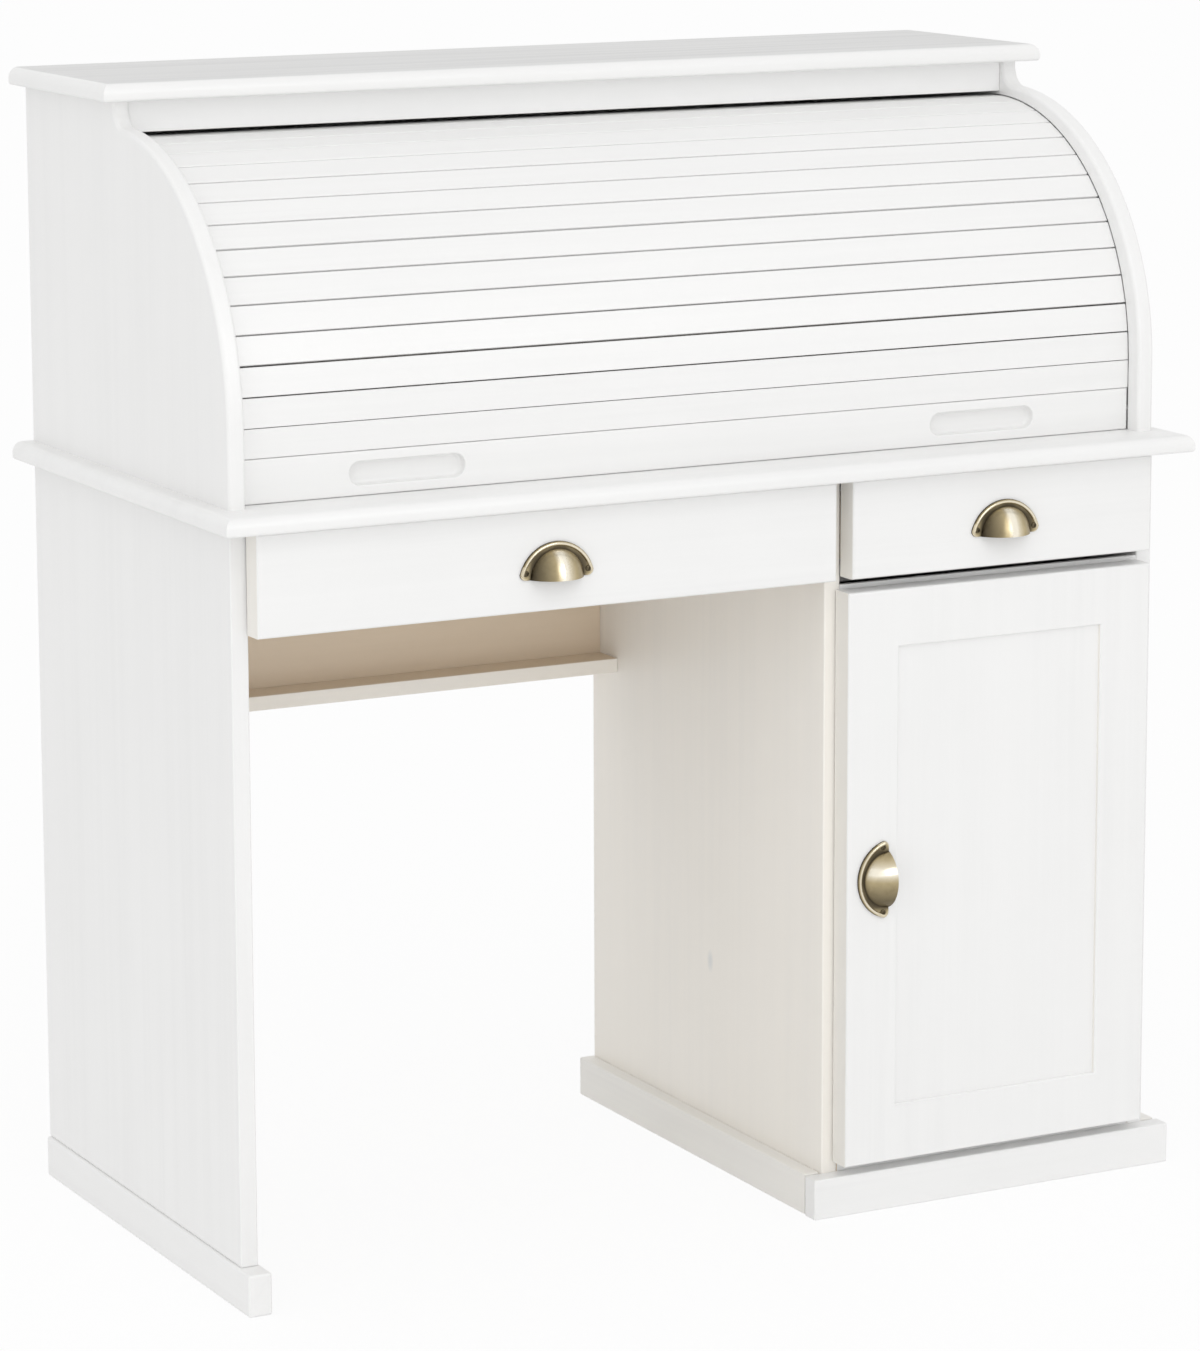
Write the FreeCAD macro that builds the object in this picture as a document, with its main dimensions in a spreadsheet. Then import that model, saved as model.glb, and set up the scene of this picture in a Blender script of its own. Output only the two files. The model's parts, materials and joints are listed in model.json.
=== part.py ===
"""Roll top secretary desk in lacquered pine, as a parametric document.

The desk stands with its front towards -Y and +Z up. The origin is on the floor, under the
middle of the overall box. All sizes are in millimetres.
"""
import FreeCAD
import Part
import math
import os
import re

# Driving dimensions of the desk
SIZES = {
    # Carcass
    "carcass_width": 980,
    "panel_depth": 470,
    "board_thickness": 17,
    "back_thickness": 4,
    "arris_radius": 2,
    "desk_height": 737,
    "pedestal_width": 370,
    "plinth_height": 40,
    "plinth_front_thickness": 19,
    "plinth_side_thickness": 17,
    "plinth_end_reveal": 1.5,
    "foot_width": 23.5,
    "foot_reach": 24,
    "foot_chamfer": 3,
    "floor_setback": 2,
    "shelf_height_share": 0.5074,
    "shelf_setback": 30,
    "cleat_size": 14,
    "drawer_rail_setback": 30,
    "drawer_rail_gap": 11,
    "stretcher_height": 261,
    "ledge_depth": 37.5,
    "ledge_thickness": 14.5,
    # Worktop and top board
    "worktop_thickness": 17,
    "worktop_side_overhang": 21,
    "worktop_front_overhang": 42.5,
    "worktop_back_overhang": 4,
    "nosing_radius": 10,
    "nosing_under_radius": 3,
    "top_thickness": 17,
    "top_side_overhang": 16,
    "top_front_overhang": 18.5,
    # Hutch sides, fascia and pigeonholes
    "side_curve_radius": 252,
    "side_curve_height": 68,
    "crown_drop": 24,
    "cove_radius": 20,
    "side_arris": 3,
    "fascia_setback": 5,
    "fascia_height": 30.5,
    "pigeonhole_back_setback": 392,
    "pigeonhole_depth": 140,
    "pigeonhole_height": 180,
    "pigeonhole_board": 10,
    "pigeonhole_shelf_height": 110,
    # Roll top curtain
    "curtain_centre_shift": 8,
    "curtain_centre_rise": 0.5,
    "curtain_margin": 11,
    "curtain_back_gap": 3,
    "curtain_tuck": 12.05,
    "slat_gap": 0.8,
    "slat_thickness": 10,
    "slat_arris": 1.2,
    "slat_end_gap": 0.5,
    "tongue_thickness": 4.4,
    "tongue_width": 18,
    "tongue_end_gap": 0.4,
    "groove_width": 11.2,
    "groove_depth": 8,
    "lift_rail_height": 41.4,
    "lift_rail_thickness": 18,
    "lift_rail_chamfer": 8,
    "lift_rail_foot_gap": 0.3,
    "lift_rail_pin_radius": 2.5,
    "finger_recess_length": 116,
    "finger_recess_width": 22,
    "finger_recess_depth": 9,
    "finger_recess_spacing": 611,
    # Drawer and door fronts
    "front_thickness": 24.5,
    "front_gap": 2,
    "front_arris": 2.5,
    "drawer_front_height": 94,
    "drawer_front_top_gap": 1.7,
    "centre_front_overlap": 2.3,
    "centre_front_side_gap": 1.9,
    "pedestal_front_overlap": 1.3,
    "pedestal_front_side_gap": 1.6,
    "door_overlap": 5.7,
    "door_bottom_gap": 10.5,
    "door_top_gap": 12.8,
    "door_frame_width": 56,
    "door_panel_recess": 4,
    "door_panel_thickness": 12,
    "door_panel_tongue": 8,
    # Drawer boxes and runners
    "drawer_side_thickness": 14,
    "drawer_side_height": 60,
    "drawer_side_lift": 15.7,
    "drawer_side_gap": 2,
    "drawer_back_gap": 25,
    "drawer_bottom_thickness": 4,
    "drawer_bottom_lift": 6,
    "drawer_bottom_tongue": 4,
    "runner_height": 17,
    "runner_lift": 28,
    "runner_setback": 12,
    "runner_groove_depth": 8,
    "runner_clearance": 0.3,
    # Door hinges
    "hinge_inset": 6,
    "hinge_height": 30,
    "hinge_end_distance": 70,
    "hinge_pin_radius": 2.5,
    "hinge_eye_radius": 4.6,
    "hinge_plate_thickness": 2,
    "hinge_plate_length": 36,
    "hinge_clearance": 0.06,
    "hinge_notch_clearance": 0.5,
    "hinge_pin_seat": 10,
    "hinge_notch_depth": 15,
    "hinge_notch_width": 13,
    # Cup handles
    "handle_width": 75,
    "handle_height": 34,
    "handle_projection": 20,
    "handle_spacing": 64,
    "handle_screw_lift": 6.5,
    "handle_ear_radius": 5.5,
    "handle_flange": 2,
    "handle_rim_width": 1.6,
    "handle_rim_height": 3.2,
    "handle_cup_radius": 28,
    "handle_wall": 1.6,
    "screw_radius": 1.6,
    "screw_hole_radius": 1.7,
    "screw_head_radius": 3,
    "screw_head_height": 1.6,
    "screw_length": 14,
    # One overrun for every cut
    "cut_overrun": 5,
}

# Counts and angles
SLAT_COUNT = 15
DIVIDER_COUNT = 3
DOME_STEPS = 4
GROOVE_TAIL_DEGREES = 27

# Places that follow from the driving dimensions
PLACES = {
    "half_width": "carcass_width / 2",
    "inner_half": "half_width - board_thickness",
    "panel_front": "(handle_projection + front_thickness + front_gap - panel_depth"
                   " - worktop_back_overhang) / 2",
    "panel_back": "panel_front + panel_depth",
    "panel_top": "desk_height - worktop_thickness",
    "hutch_height": "side_curve_height + side_curve_radius + crown_drop",
    "hutch_top": "desk_height + hutch_height",
    "pedestal_outer": "half_width - pedestal_width",
    "pedestal_inner": "pedestal_outer + board_thickness",
    "pedestal_room": "inner_half - pedestal_inner",
    "knee_width": "pedestal_outer + inner_half",
    "back_face": "panel_back - back_thickness",
    "inner_depth": "panel_depth - back_thickness",
    "ledge_height": "panel_top - stretcher_height",
    "fascia_front": "panel_front + side_curve_radius + fascia_setback",
    "front_back_face": "panel_front - front_gap",
    "front_face": "front_back_face - front_thickness",
    "drawer_front_top": "panel_top - drawer_front_top_gap",
    "drawer_front_bottom": "drawer_front_top - drawer_front_height",
    "drawer_side_bottom": "drawer_front_bottom + drawer_side_lift",
    "drawer_rail_bottom": "drawer_side_bottom - drawer_rail_gap - board_thickness",
    "floor_top": "plinth_height + board_thickness",
    "shelf_height": "floor_top + shelf_height_share"
                    " * (drawer_rail_bottom - floor_top - board_thickness)",
    "drawer_box_depth": "panel_depth + front_gap - board_thickness - drawer_back_gap",
    "runner_bottom": "drawer_side_bottom + runner_lift",
    "runner_depth": "drawer_side_gap + runner_groove_depth - runner_clearance",
    "runner_length": "drawer_box_depth - runner_setback",
    "door_left": "pedestal_inner - door_overlap",
    "door_right": "inner_half - pedestal_front_side_gap",
    "door_width": "door_right - door_left",
    "door_bottom": "plinth_height + door_bottom_gap",
    "door_top": "drawer_front_bottom - door_top_gap",
    "door_height": "door_top - door_bottom",
    "hinge_x": "door_right - hinge_inset",
    "hinge_y": "front_back_face - hinge_inset",
    "curtain_straight": "side_curve_height + curtain_centre_rise",
    "curtain_centre_setback": "side_curve_radius + curtain_centre_shift",
    "curtain_radius": "side_curve_radius - curtain_margin",
    "curtain_back_radius": "inner_depth - curtain_back_gap - curtain_centre_setback",
    "curtain_centre_y": "panel_front + curtain_centre_setback",
    "curtain_centre_z": "desk_height + curtain_straight",
    "curtain_back_centre_z": "curtain_centre_z + curtain_radius - curtain_back_radius",
    "slat_pitch": "(curtain_straight + (curtain_radius - slat_thickness) * pi / 2"
                  " + curtain_tuck - lift_rail_height) / %d" % SLAT_COUNT,
    "slat_length": "2 * (inner_half - slat_end_gap)",
    "tongue_length": "2 * (inner_half + groove_depth - tongue_end_gap)",
    "pigeonhole_back_y": "panel_front + pigeonhole_back_setback",
    "pigeonhole_front_y": "pigeonhole_back_y - pigeonhole_depth",
}

doc = FreeCAD.newDocument("RollTopDesk")
sizes = doc.addObject("Spreadsheet::Sheet", "Sizes")
places = doc.addObject("Spreadsheet::Sheet", "Places")
nodes = []


def linked(text):
    """Points every named size in a formula at the sheet that holds it."""
    def link(match):
        word = match.group(0)
        if word in SIZES:
            return "Sizes." + word
        if word in PLACES:
            return "Places." + word
        return word
    return re.sub(r"[a-z][a-z_]+", link, text)


def fill_sheets():
    """Writes the driving dimensions as plain numbers and the places as formulas."""
    for row, (alias, number) in enumerate(SIZES.items(), start=1):
        sizes.set("A%d" % row, alias)
        sizes.set("B%d" % row, str(number))
        sizes.setAlias("B%d" % row, alias)
    for row, (alias, formula) in enumerate(PLACES.items(), start=1):
        places.set("A%d" % row, alias)
        places.set("B%d" % row, "=" + linked(formula))
        places.setAlias("B%d" % row, alias)
    doc.recompute()


def size(alias):
    """Reads one named size or place from its sheet."""
    sheet = sizes if alias in SIZES else places
    return float(sheet.get(alias))


def bind(thing, name, formula):
    """Ties a property to a formula of named sizes."""
    thing.setExpression(name, linked(formula))


def put(thing, corner):
    """Ties the place of a feature or body to three formulas."""
    for axis, formula in zip("xyz", corner):
        bind(thing, "Placement.Base." + axis, formula)


def keep(thing, label):
    """Marks an object as a sub-part of the desk."""
    thing.Label = label
    nodes.append(thing)
    return thing


def new_body(label, is_node=True):
    """Starts a body for one sub-part."""
    body = doc.addObject("PartDesign::Body", label)
    body.AllowCompound = True
    if is_node:
        keep(body, label)
    return body


def block(body, lengths, corner, cut=False):
    """Adds a rectangular block to a body, or cuts one from it."""
    kind = "PartDesign::SubtractiveBox" if cut else "PartDesign::AdditiveBox"
    feature = body.newObject(kind, "Cut" if cut else "Block")
    for name, formula in zip(("Length", "Width", "Height"), lengths):
        bind(feature, name, formula)
    put(feature, corner)
    return feature


def rod(body, radius, length, corner, axis, cut=False):
    """Adds a round rod along X, Y or Z to a body, or cuts one from it."""
    kind = "PartDesign::SubtractiveCylinder" if cut else "PartDesign::AdditiveCylinder"
    feature = body.newObject(kind, "Bore" if cut else "Rod")
    bind(feature, "Radius", radius)
    bind(feature, "Height", length)
    turns = {"X": (FreeCAD.Vector(0, 1, 0), 90), "Y": (FreeCAD.Vector(1, 0, 0), -90)}
    if axis in turns:
        feature.Placement = FreeCAD.Placement(FreeCAD.Vector(), FreeCAD.Rotation(*turns[axis]))
    put(feature, corner)
    return feature


def board(label, lengths, corner, is_node=True):
    """Makes a sub-part that starts as one rectangular board."""
    body = new_body(label, is_node)
    block(body, lengths, corner)
    return body


def on_side(edge, box, side):
    """Says whether an edge lies on one side of its piece's box."""
    limits = {"left": ("x", box.XMin), "right": ("x", box.XMax), "front": ("y", box.YMin),
              "back": ("y", box.YMax), "bottom": ("z", box.ZMin), "top": ("z", box.ZMax)}
    axis, limit = limits[side]
    return all(abs(getattr(corner.Point, axis) - limit) < Part.Precision.confusion() * 100
               for corner in edge.Vertexes)


def ease(body, pairs, radius, kind="Fillet"):
    """Rounds or chamfers the edges that lie on each pair of sides of a body."""
    doc.recompute()
    base = body.Tip
    box = base.Shape.BoundBox
    names = []
    for number, edge in enumerate(base.Shape.Edges, start=1):
        if any(all(on_side(edge, box, side) for side in pair.split()) for pair in pairs):
            names.append("Edge%d" % number)
    feature = body.newObject("PartDesign::" + kind, kind)
    feature.Base = (base, names)
    bind(feature, "Radius" if kind == "Fillet" else "Size", radius)
    return feature


def plane_sketch(body, role, offset):
    """Makes a sketch on one of the body's own planes, moved along the plane's normal."""
    sketch = body.newObject("Sketcher::SketchObject", "Outline")
    plane = [item for item in body.Origin.OriginFeatures if item.Role == role][0]
    sketch.AttachmentSupport = [(plane, "")]
    sketch.MapMode = "FlatFace"
    bind(sketch, "AttachmentOffset.Base.z", offset)
    return sketch


def point(across, up):
    """A point of a sketch."""
    return FreeCAD.Vector(across, up, 0)


def line(sketch, start, end):
    """Adds a straight line to a sketch."""
    sketch.addGeometry(Part.LineSegment(start, end), False)


def polyline(sketch, points):
    """Adds straight lines through a row of points."""
    for start, end in zip(points, points[1:]):
        line(sketch, start, end)


def arc(sketch, centre, radius, start, end):
    """Adds an arc, anticlockwise between two angles in radians."""
    circle = Part.Circle(centre, FreeCAD.Vector(0, 0, 1), radius)
    sketch.addGeometry(Part.ArcOfCircle(circle, start, end), False)


def polar(centre, radius, angle):
    """The point of a circle at an angle."""
    return centre + point(radius * math.cos(angle), radius * math.sin(angle))


def pad(body, sketch, length, reverse=False):
    """Pads a sketch by a formula of named sizes."""
    feature = body.newObject("PartDesign::Pad", "Pad")
    feature.Profile = sketch
    feature.Reversed = reverse
    bind(feature, "Length", length)
    return feature


def pocket(body, sketch, depth, reverse=False):
    """Pockets a sketch into its body and makes sure that it cuts."""
    doc.recompute()
    before = body.Shape.Volume
    feature = body.newObject("PartDesign::Pocket", "Pocket")
    feature.Profile = sketch
    feature.Reversed = reverse
    bind(feature, "Length", depth)
    doc.recompute()
    if not body.Shape.Volume < before:
        raise RuntimeError(body.Label + ": a pocket cuts nothing")
    return feature


def make_carcass():
    """The side panel on its foot bar, and the pedestal with its plinth, shelf and back."""
    panel = board("left_side_panel",
                  ("board_thickness", "panel_depth", "panel_top - plinth_height"),
                  ("-half_width", "panel_front", "plinth_height"))
    ease(panel, ("left front", "right front"), "arris_radius")

    foot = board("left_foot", ("foot_width", "panel_depth + foot_reach", "plinth_height"),
                 ("-half_width + board_thickness / 2 - foot_width / 2",
                  "panel_front - foot_reach", "0"))
    ease(foot, ("front top", "left top", "right top"), "foot_chamfer", "Chamfer")

    for label, corner_x in (("pedestal_left_panel", "pedestal_outer"),
                            ("pedestal_right_panel", "inner_half")):
        panel = board(label, ("board_thickness", "panel_depth", "panel_top"),
                      (corner_x, "panel_front", "0"))
        ease(panel, ("left front", "right front"), "arris_radius")

    board("pedestal_floor", ("pedestal_room", "inner_depth - floor_setback", "board_thickness"),
          ("pedestal_inner", "panel_front + floor_setback", "plinth_height"))
    board("pedestal_back", ("pedestal_room", "back_thickness", "panel_top - plinth_height"),
          ("pedestal_inner", "back_face", "plinth_height"))
    board("pedestal_drawer_rail",
          ("pedestal_room", "inner_depth - drawer_rail_setback", "board_thickness"),
          ("pedestal_inner", "panel_front + drawer_rail_setback",
           "drawer_rail_bottom"))
    shelf = board("pedestal_shelf",
                  ("pedestal_room", "inner_depth - shelf_setback", "board_thickness"),
                  ("pedestal_inner", "panel_front + shelf_setback", "shelf_height"))
    ease(shelf, ("front top", "front bottom"), "arris_radius")
    cleats = new_body("shelf_cleats")
    for corner_x in ("pedestal_inner", "inner_half - cleat_size"):
        block(cleats, ("cleat_size", "inner_depth - 2 * shelf_setback", "cleat_size"),
              (corner_x, "panel_front + 2 * shelf_setback", "shelf_height - cleat_size"))

    front = board("plinth_front",
                  ("pedestal_width + 2 * (plinth_side_thickness + plinth_end_reveal)",
                   "plinth_front_thickness", "plinth_height"),
                  ("pedestal_outer - plinth_side_thickness - plinth_end_reveal",
                   "panel_front - plinth_front_thickness", "0"))
    ease(front, ("front top", "left front", "right front", "left top", "right top"),
         "arris_radius")
    flanks = new_body("plinth_sides")
    for corner_x in ("pedestal_outer - plinth_side_thickness", "half_width"):
        block(flanks, ("plinth_side_thickness", "panel_depth", "plinth_height"),
              (corner_x, "panel_front", "0"))
    ease(flanks, ("left top", "right top"), "arris_radius")

    board("back_stretcher", ("knee_width", "board_thickness", "panel_top - ledge_height"),
          ("-inner_half", "panel_back - board_thickness", "ledge_height"))
    ledge = board("back_ledge", ("knee_width", "ledge_depth", "ledge_thickness"),
                  ("-inner_half", "panel_back - board_thickness - ledge_depth", "ledge_height"))
    ease(ledge, ("front top", "front bottom"), "arris_radius")


def make_tops():
    """The worktop and the top board, with the nosing on the front and both ends."""
    tops = (
        ("worktop", "worktop_thickness", "worktop_side_overhang", "panel_top",
         "panel_front - worktop_front_overhang"),
        ("top_board", "top_thickness", "top_side_overhang", "hutch_top",
         "panel_front + side_curve_radius - top_front_overhang"),
    )
    for label, thickness, overhang, underside, front in tops:
        body = board(label, ("carcass_width + 2 * " + overhang,
                             "panel_back + worktop_back_overhang - (" + front + ")", thickness),
                     ("-half_width - " + overhang, front, underside))
        nosing_edges(body, "top", "nosing_radius")
        nosing_edges(body, "bottom", "nosing_under_radius")


def nosing_edges(body, side, radius):
    """Rounds the upper or lower edge of a top along its front and both ends."""
    doc.recompute()
    base = body.Tip
    box = base.Shape.BoundBox
    names = []
    for number, edge in enumerate(base.Shape.Edges, start=1):
        if on_side(edge, box, side) and not on_side(edge, box, "back"):
            names.append("Edge%d" % number)
    feature = body.newObject("PartDesign::Fillet", "Nosing")
    feature.Base = (base, names)
    bind(feature, "Radius", radius)


def make_hutch_side(label, corner_x, inner_x, groove_into_right):
    """One hutch side: the curved outline with its cove, and the curtain groove inside."""
    body = new_body(label)
    front = size("panel_front")
    back = size("panel_back")
    low = size("desk_height")
    high = size("hutch_top")
    radius = size("side_curve_radius")
    centre = point(front + radius, low + size("side_curve_height"))
    crown = centre + point(0, radius)
    outline = plane_sketch(body, "YZ_Plane", corner_x)
    arc(outline, centre, radius, math.pi / 2, math.pi)
    polyline(outline, [crown, point(crown.x, high), point(back, high), point(back, low),
                       point(front, low), point(front, centre.y)])
    pad(body, outline, "board_thickness")
    doc.recompute()
    base = body.Tip
    cove = [number for number, edge in enumerate(base.Shape.Edges, start=1)
            if all(abs(corner.Point.y - crown.x) < Part.Precision.confusion() * 100
                   and abs(corner.Point.z - crown.y) < Part.Precision.confusion() * 100
                   for corner in edge.Vertexes)]
    feature = body.newObject("PartDesign::Fillet", "Cove")
    feature.Base = (base, ["Edge%d" % number for number in cove])
    bind(feature, "Radius", "cove_radius")
    doc.recompute()
    base = body.Tip
    eased = []
    for number, edge in enumerate(base.Shape.Edges, start=1):
        middle = edge.valueAt((edge.FirstParameter + edge.LastParameter) / 2)
        box = base.Shape.BoundBox
        on_face = on_side(edge, box, "left") or on_side(edge, box, "right")
        ahead = middle.y < crown.x + Part.Precision.confusion() * 100 and middle.z > low
        if on_face and ahead and middle.z < high - Part.Precision.confusion() * 100:
            if middle.z > low + Part.Precision.confusion() * 100:
                eased.append("Edge%d" % number)
    feature = body.newObject("PartDesign::Chamfer", "FrontArris")
    feature.Base = (base, eased)
    bind(feature, "Size", "side_arris")
    groove = plane_sketch(body, "YZ_Plane", inner_x)
    draw_groove(groove)
    pocket(body, groove, "groove_depth", groove_into_right)


def draw_groove(sketch):
    """The curtain groove: straight up, round the front curve, and down the back curve."""
    half = size("groove_width") / 2
    middle = size("curtain_radius") - size("slat_thickness") / 2
    back_middle = size("curtain_back_radius") - size("slat_thickness") / 2
    centre = point(size("curtain_centre_y"), size("curtain_centre_z"))
    back_centre = point(size("curtain_centre_y"), size("curtain_back_centre_z"))
    low = size("desk_height")
    tail = -math.radians(GROOVE_TAIL_DEGREES)
    for offset in (-half, half):
        arc(sketch, centre, middle + offset, math.pi / 2, math.pi)
        arc(sketch, back_centre, back_middle + offset, tail, math.pi / 2)
        line(sketch, point(centre.x - middle - offset, low),
             point(centre.x - middle - offset, centre.y))
    line(sketch, point(centre.x - middle - half, low), point(centre.x - middle + half, low))
    line(sketch, polar(back_centre, back_middle - half, tail),
         polar(back_centre, back_middle + half, tail))


def make_hutch():
    """The hutch sides, back, fascia and pigeonholes."""
    make_hutch_side("hutch_left_side", "-half_width", "-inner_half", False)
    make_hutch_side("hutch_right_side", "inner_half", "inner_half", True)
    board("hutch_back", ("2 * inner_half", "back_thickness", "hutch_height"),
          ("-inner_half", "back_face", "desk_height"))
    fascia = board("fascia", ("2 * inner_half", "board_thickness", "fascia_height"),
                   ("-inner_half", "fascia_front", "hutch_top - fascia_height"))
    ease(fascia, ("front bottom",), "arris_radius")

    board("pigeonhole_back", ("2 * inner_half", "back_thickness", "pigeonhole_height"),
          ("-inner_half", "pigeonhole_back_y", "desk_height"))
    shelf = board("pigeonhole_shelf", ("2 * inner_half", "pigeonhole_depth", "pigeonhole_board"),
                  ("-inner_half", "pigeonhole_front_y",
                   "desk_height + pigeonhole_shelf_height"))
    ease(shelf, ("front top", "front bottom"), "arris_radius")
    dividers = new_body("pigeonhole_dividers")
    for number in range(1, DIVIDER_COUNT + 1):
        block(dividers, ("pigeonhole_board", "pigeonhole_depth", "pigeonhole_shelf_height"),
              ("-inner_half + 2 * inner_half * %d / %d - pigeonhole_board / 2"
               % (number, DIVIDER_COUNT + 1), "pigeonhole_front_y", "desk_height"))


def curtain_station(length):
    """The point on the curtain's back at a length along its path.

    The path runs up from the worktop, round the front curve and down the back curve.
    """
    straight = size("curtain_straight")
    front_radius = size("curtain_radius") - size("slat_thickness")
    back_radius = size("curtain_back_radius") - size("slat_thickness")
    centre = point(size("curtain_centre_y"), size("curtain_centre_z"))
    if length < straight:
        return point(centre.x - front_radius, size("desk_height") + length)
    lean = (length - straight) / front_radius
    if lean < math.pi / 2:
        return polar(centre, front_radius, math.pi - lean)
    past = (length - straight - front_radius * math.pi / 2) / back_radius
    back_centre = point(centre.x, size("curtain_back_centre_z"))
    return polar(back_centre, back_radius, math.pi / 2 - past)


def lay_on_path(body, start, end):
    """Places a curtain piece, drawn upright at the origin, between two path lengths."""
    low = curtain_station(start)
    high = curtain_station(end)
    lean = math.degrees(math.atan2(high.x - low.x, high.y - low.y))
    body.Placement = FreeCAD.Placement(FreeCAD.Vector(0, low.x, low.y),
                                       FreeCAD.Rotation(FreeCAD.Vector(1, 0, 0), -lean))


def make_curtain():
    """The lift rail and the slats, each seated in the side grooves."""
    rail = new_body("lift_rail")
    block(rail, ("slat_length", "lift_rail_thickness",
                 "lift_rail_height - lift_rail_foot_gap - slat_gap / 2"),
          ("-slat_length / 2", "-slat_thickness", "lift_rail_foot_gap"))
    ease(rail, ("back top",), "lift_rail_chamfer", "Chamfer")
    ease(rail, ("front top", "front bottom"), "slat_arris", "Chamfer")
    rod(rail, "lift_rail_pin_radius", "tongue_length",
        ("-tongue_length / 2", "-slat_thickness / 2", "lift_rail_height / 2"), "X")
    recess = plane_sketch(rail, "XZ_Plane", "slat_thickness")
    radius = size("finger_recess_width") / 2
    reach = size("finger_recess_length") / 2 - radius
    height = size("lift_rail_height") / 2
    for side in (-1, 1):
        middle = side * size("finger_recess_spacing") / 2
        for level in (height - radius, height + radius):
            line(recess, point(middle - reach, level), point(middle + reach, level))
        arc(recess, point(middle - reach, height), radius, math.pi / 2, 3 * math.pi / 2)
        arc(recess, point(middle + reach, height), radius, -math.pi / 2, math.pi / 2)
    pocket(rail, recess, "finger_recess_depth")
    lay_on_path(rail, 0, size("lift_rail_height"))

    for number in range(SLAT_COUNT):
        slat = new_body("tambour_slat_%02d" % (number + 1))
        block(slat, ("slat_length", "slat_thickness", "slat_pitch - slat_gap"),
              ("-slat_length / 2", "-slat_thickness", "slat_gap / 2"))
        ease(slat, ("front top", "front bottom"), "slat_arris", "Chamfer")
        block(slat, ("tongue_length", "tongue_thickness", "tongue_width"),
              ("-tongue_length / 2", "-slat_thickness / 2 - tongue_thickness / 2",
               "slat_pitch / 2 - tongue_width / 2"))
        start = size("lift_rail_height") + number * size("slat_pitch")
        lay_on_path(slat, start, start + size("slat_pitch"))


def make_drawer(prefix, room_left, room_right, front_left, front_right):
    """A drawer: front, grooved sides on wooden runners, back and bottom, cup handle."""
    front_width = "(%s - (%s))" % (front_right, front_left)
    front = board(prefix + "_front", (front_width, "front_thickness", "drawer_front_height"),
                  (front_left, "front_face", "drawer_front_bottom"))
    ease(front, ("left front", "right front", "front top", "front bottom"), "front_arris")
    box_left = "(%s + drawer_side_gap)" % room_left
    box_right = "(%s - drawer_side_gap)" % room_right
    inside = "(%s + drawer_side_thickness)" % box_left
    inside_width = "(%s - drawer_side_thickness - %s)" % (box_right, inside)
    bottom_z = "drawer_side_bottom + drawer_bottom_lift"
    bottom_width = inside_width + " + 2 * drawer_bottom_tongue"
    bottom_left = inside + " - drawer_bottom_tongue"
    bottom_front = "front_back_face - drawer_bottom_tongue"
    bottom_depth = "drawer_box_depth + drawer_bottom_tongue"
    block(front, (bottom_width, "drawer_bottom_tongue + cut_overrun", "drawer_bottom_thickness"),
          (bottom_left, bottom_front, bottom_z), cut=True)

    walls = new_body(prefix + "_sides")
    for corner_x in (box_left, "%s - drawer_side_thickness" % box_right):
        block(walls, ("drawer_side_thickness", "drawer_box_depth", "drawer_side_height"),
              (corner_x, "front_back_face", "drawer_side_bottom"))
    block(walls, (bottom_width, bottom_depth + " + cut_overrun", "drawer_bottom_thickness"),
          (bottom_left, bottom_front, bottom_z), cut=True)
    groove_z = "runner_bottom - runner_clearance"
    for corner_x in (box_left + " - cut_overrun",
                     "%s - runner_groove_depth" % box_right):
        block(walls, ("runner_groove_depth + cut_overrun", "drawer_box_depth + cut_overrun",
                      "runner_height + 2 * runner_clearance"),
              (corner_x, "panel_front + runner_setback - runner_clearance", groove_z), cut=True)

    board(prefix + "_back",
          (inside_width, "drawer_side_thickness",
           "drawer_side_height - drawer_bottom_lift - drawer_bottom_thickness"),
          (inside, "front_back_face + drawer_box_depth - drawer_side_thickness",
           bottom_z + " + drawer_bottom_thickness"))
    board(prefix + "_bottom", (bottom_width, bottom_depth, "drawer_bottom_thickness"),
          (bottom_left, bottom_front, bottom_z))

    runners = new_body(prefix + "_runners")
    for corner_x in (room_left, "%s - runner_depth" % room_right):
        block(runners, ("runner_depth", "runner_length", "runner_height"),
              (corner_x, "panel_front + runner_setback", "runner_bottom"))

    middle = "(%s + %s) / 2" % (front_left, front_right)
    base = "drawer_front_bottom + drawer_front_height / 2 - handle_height / 2"
    make_handle(prefix, front, (middle, "front_face", base), upright=True)


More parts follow.
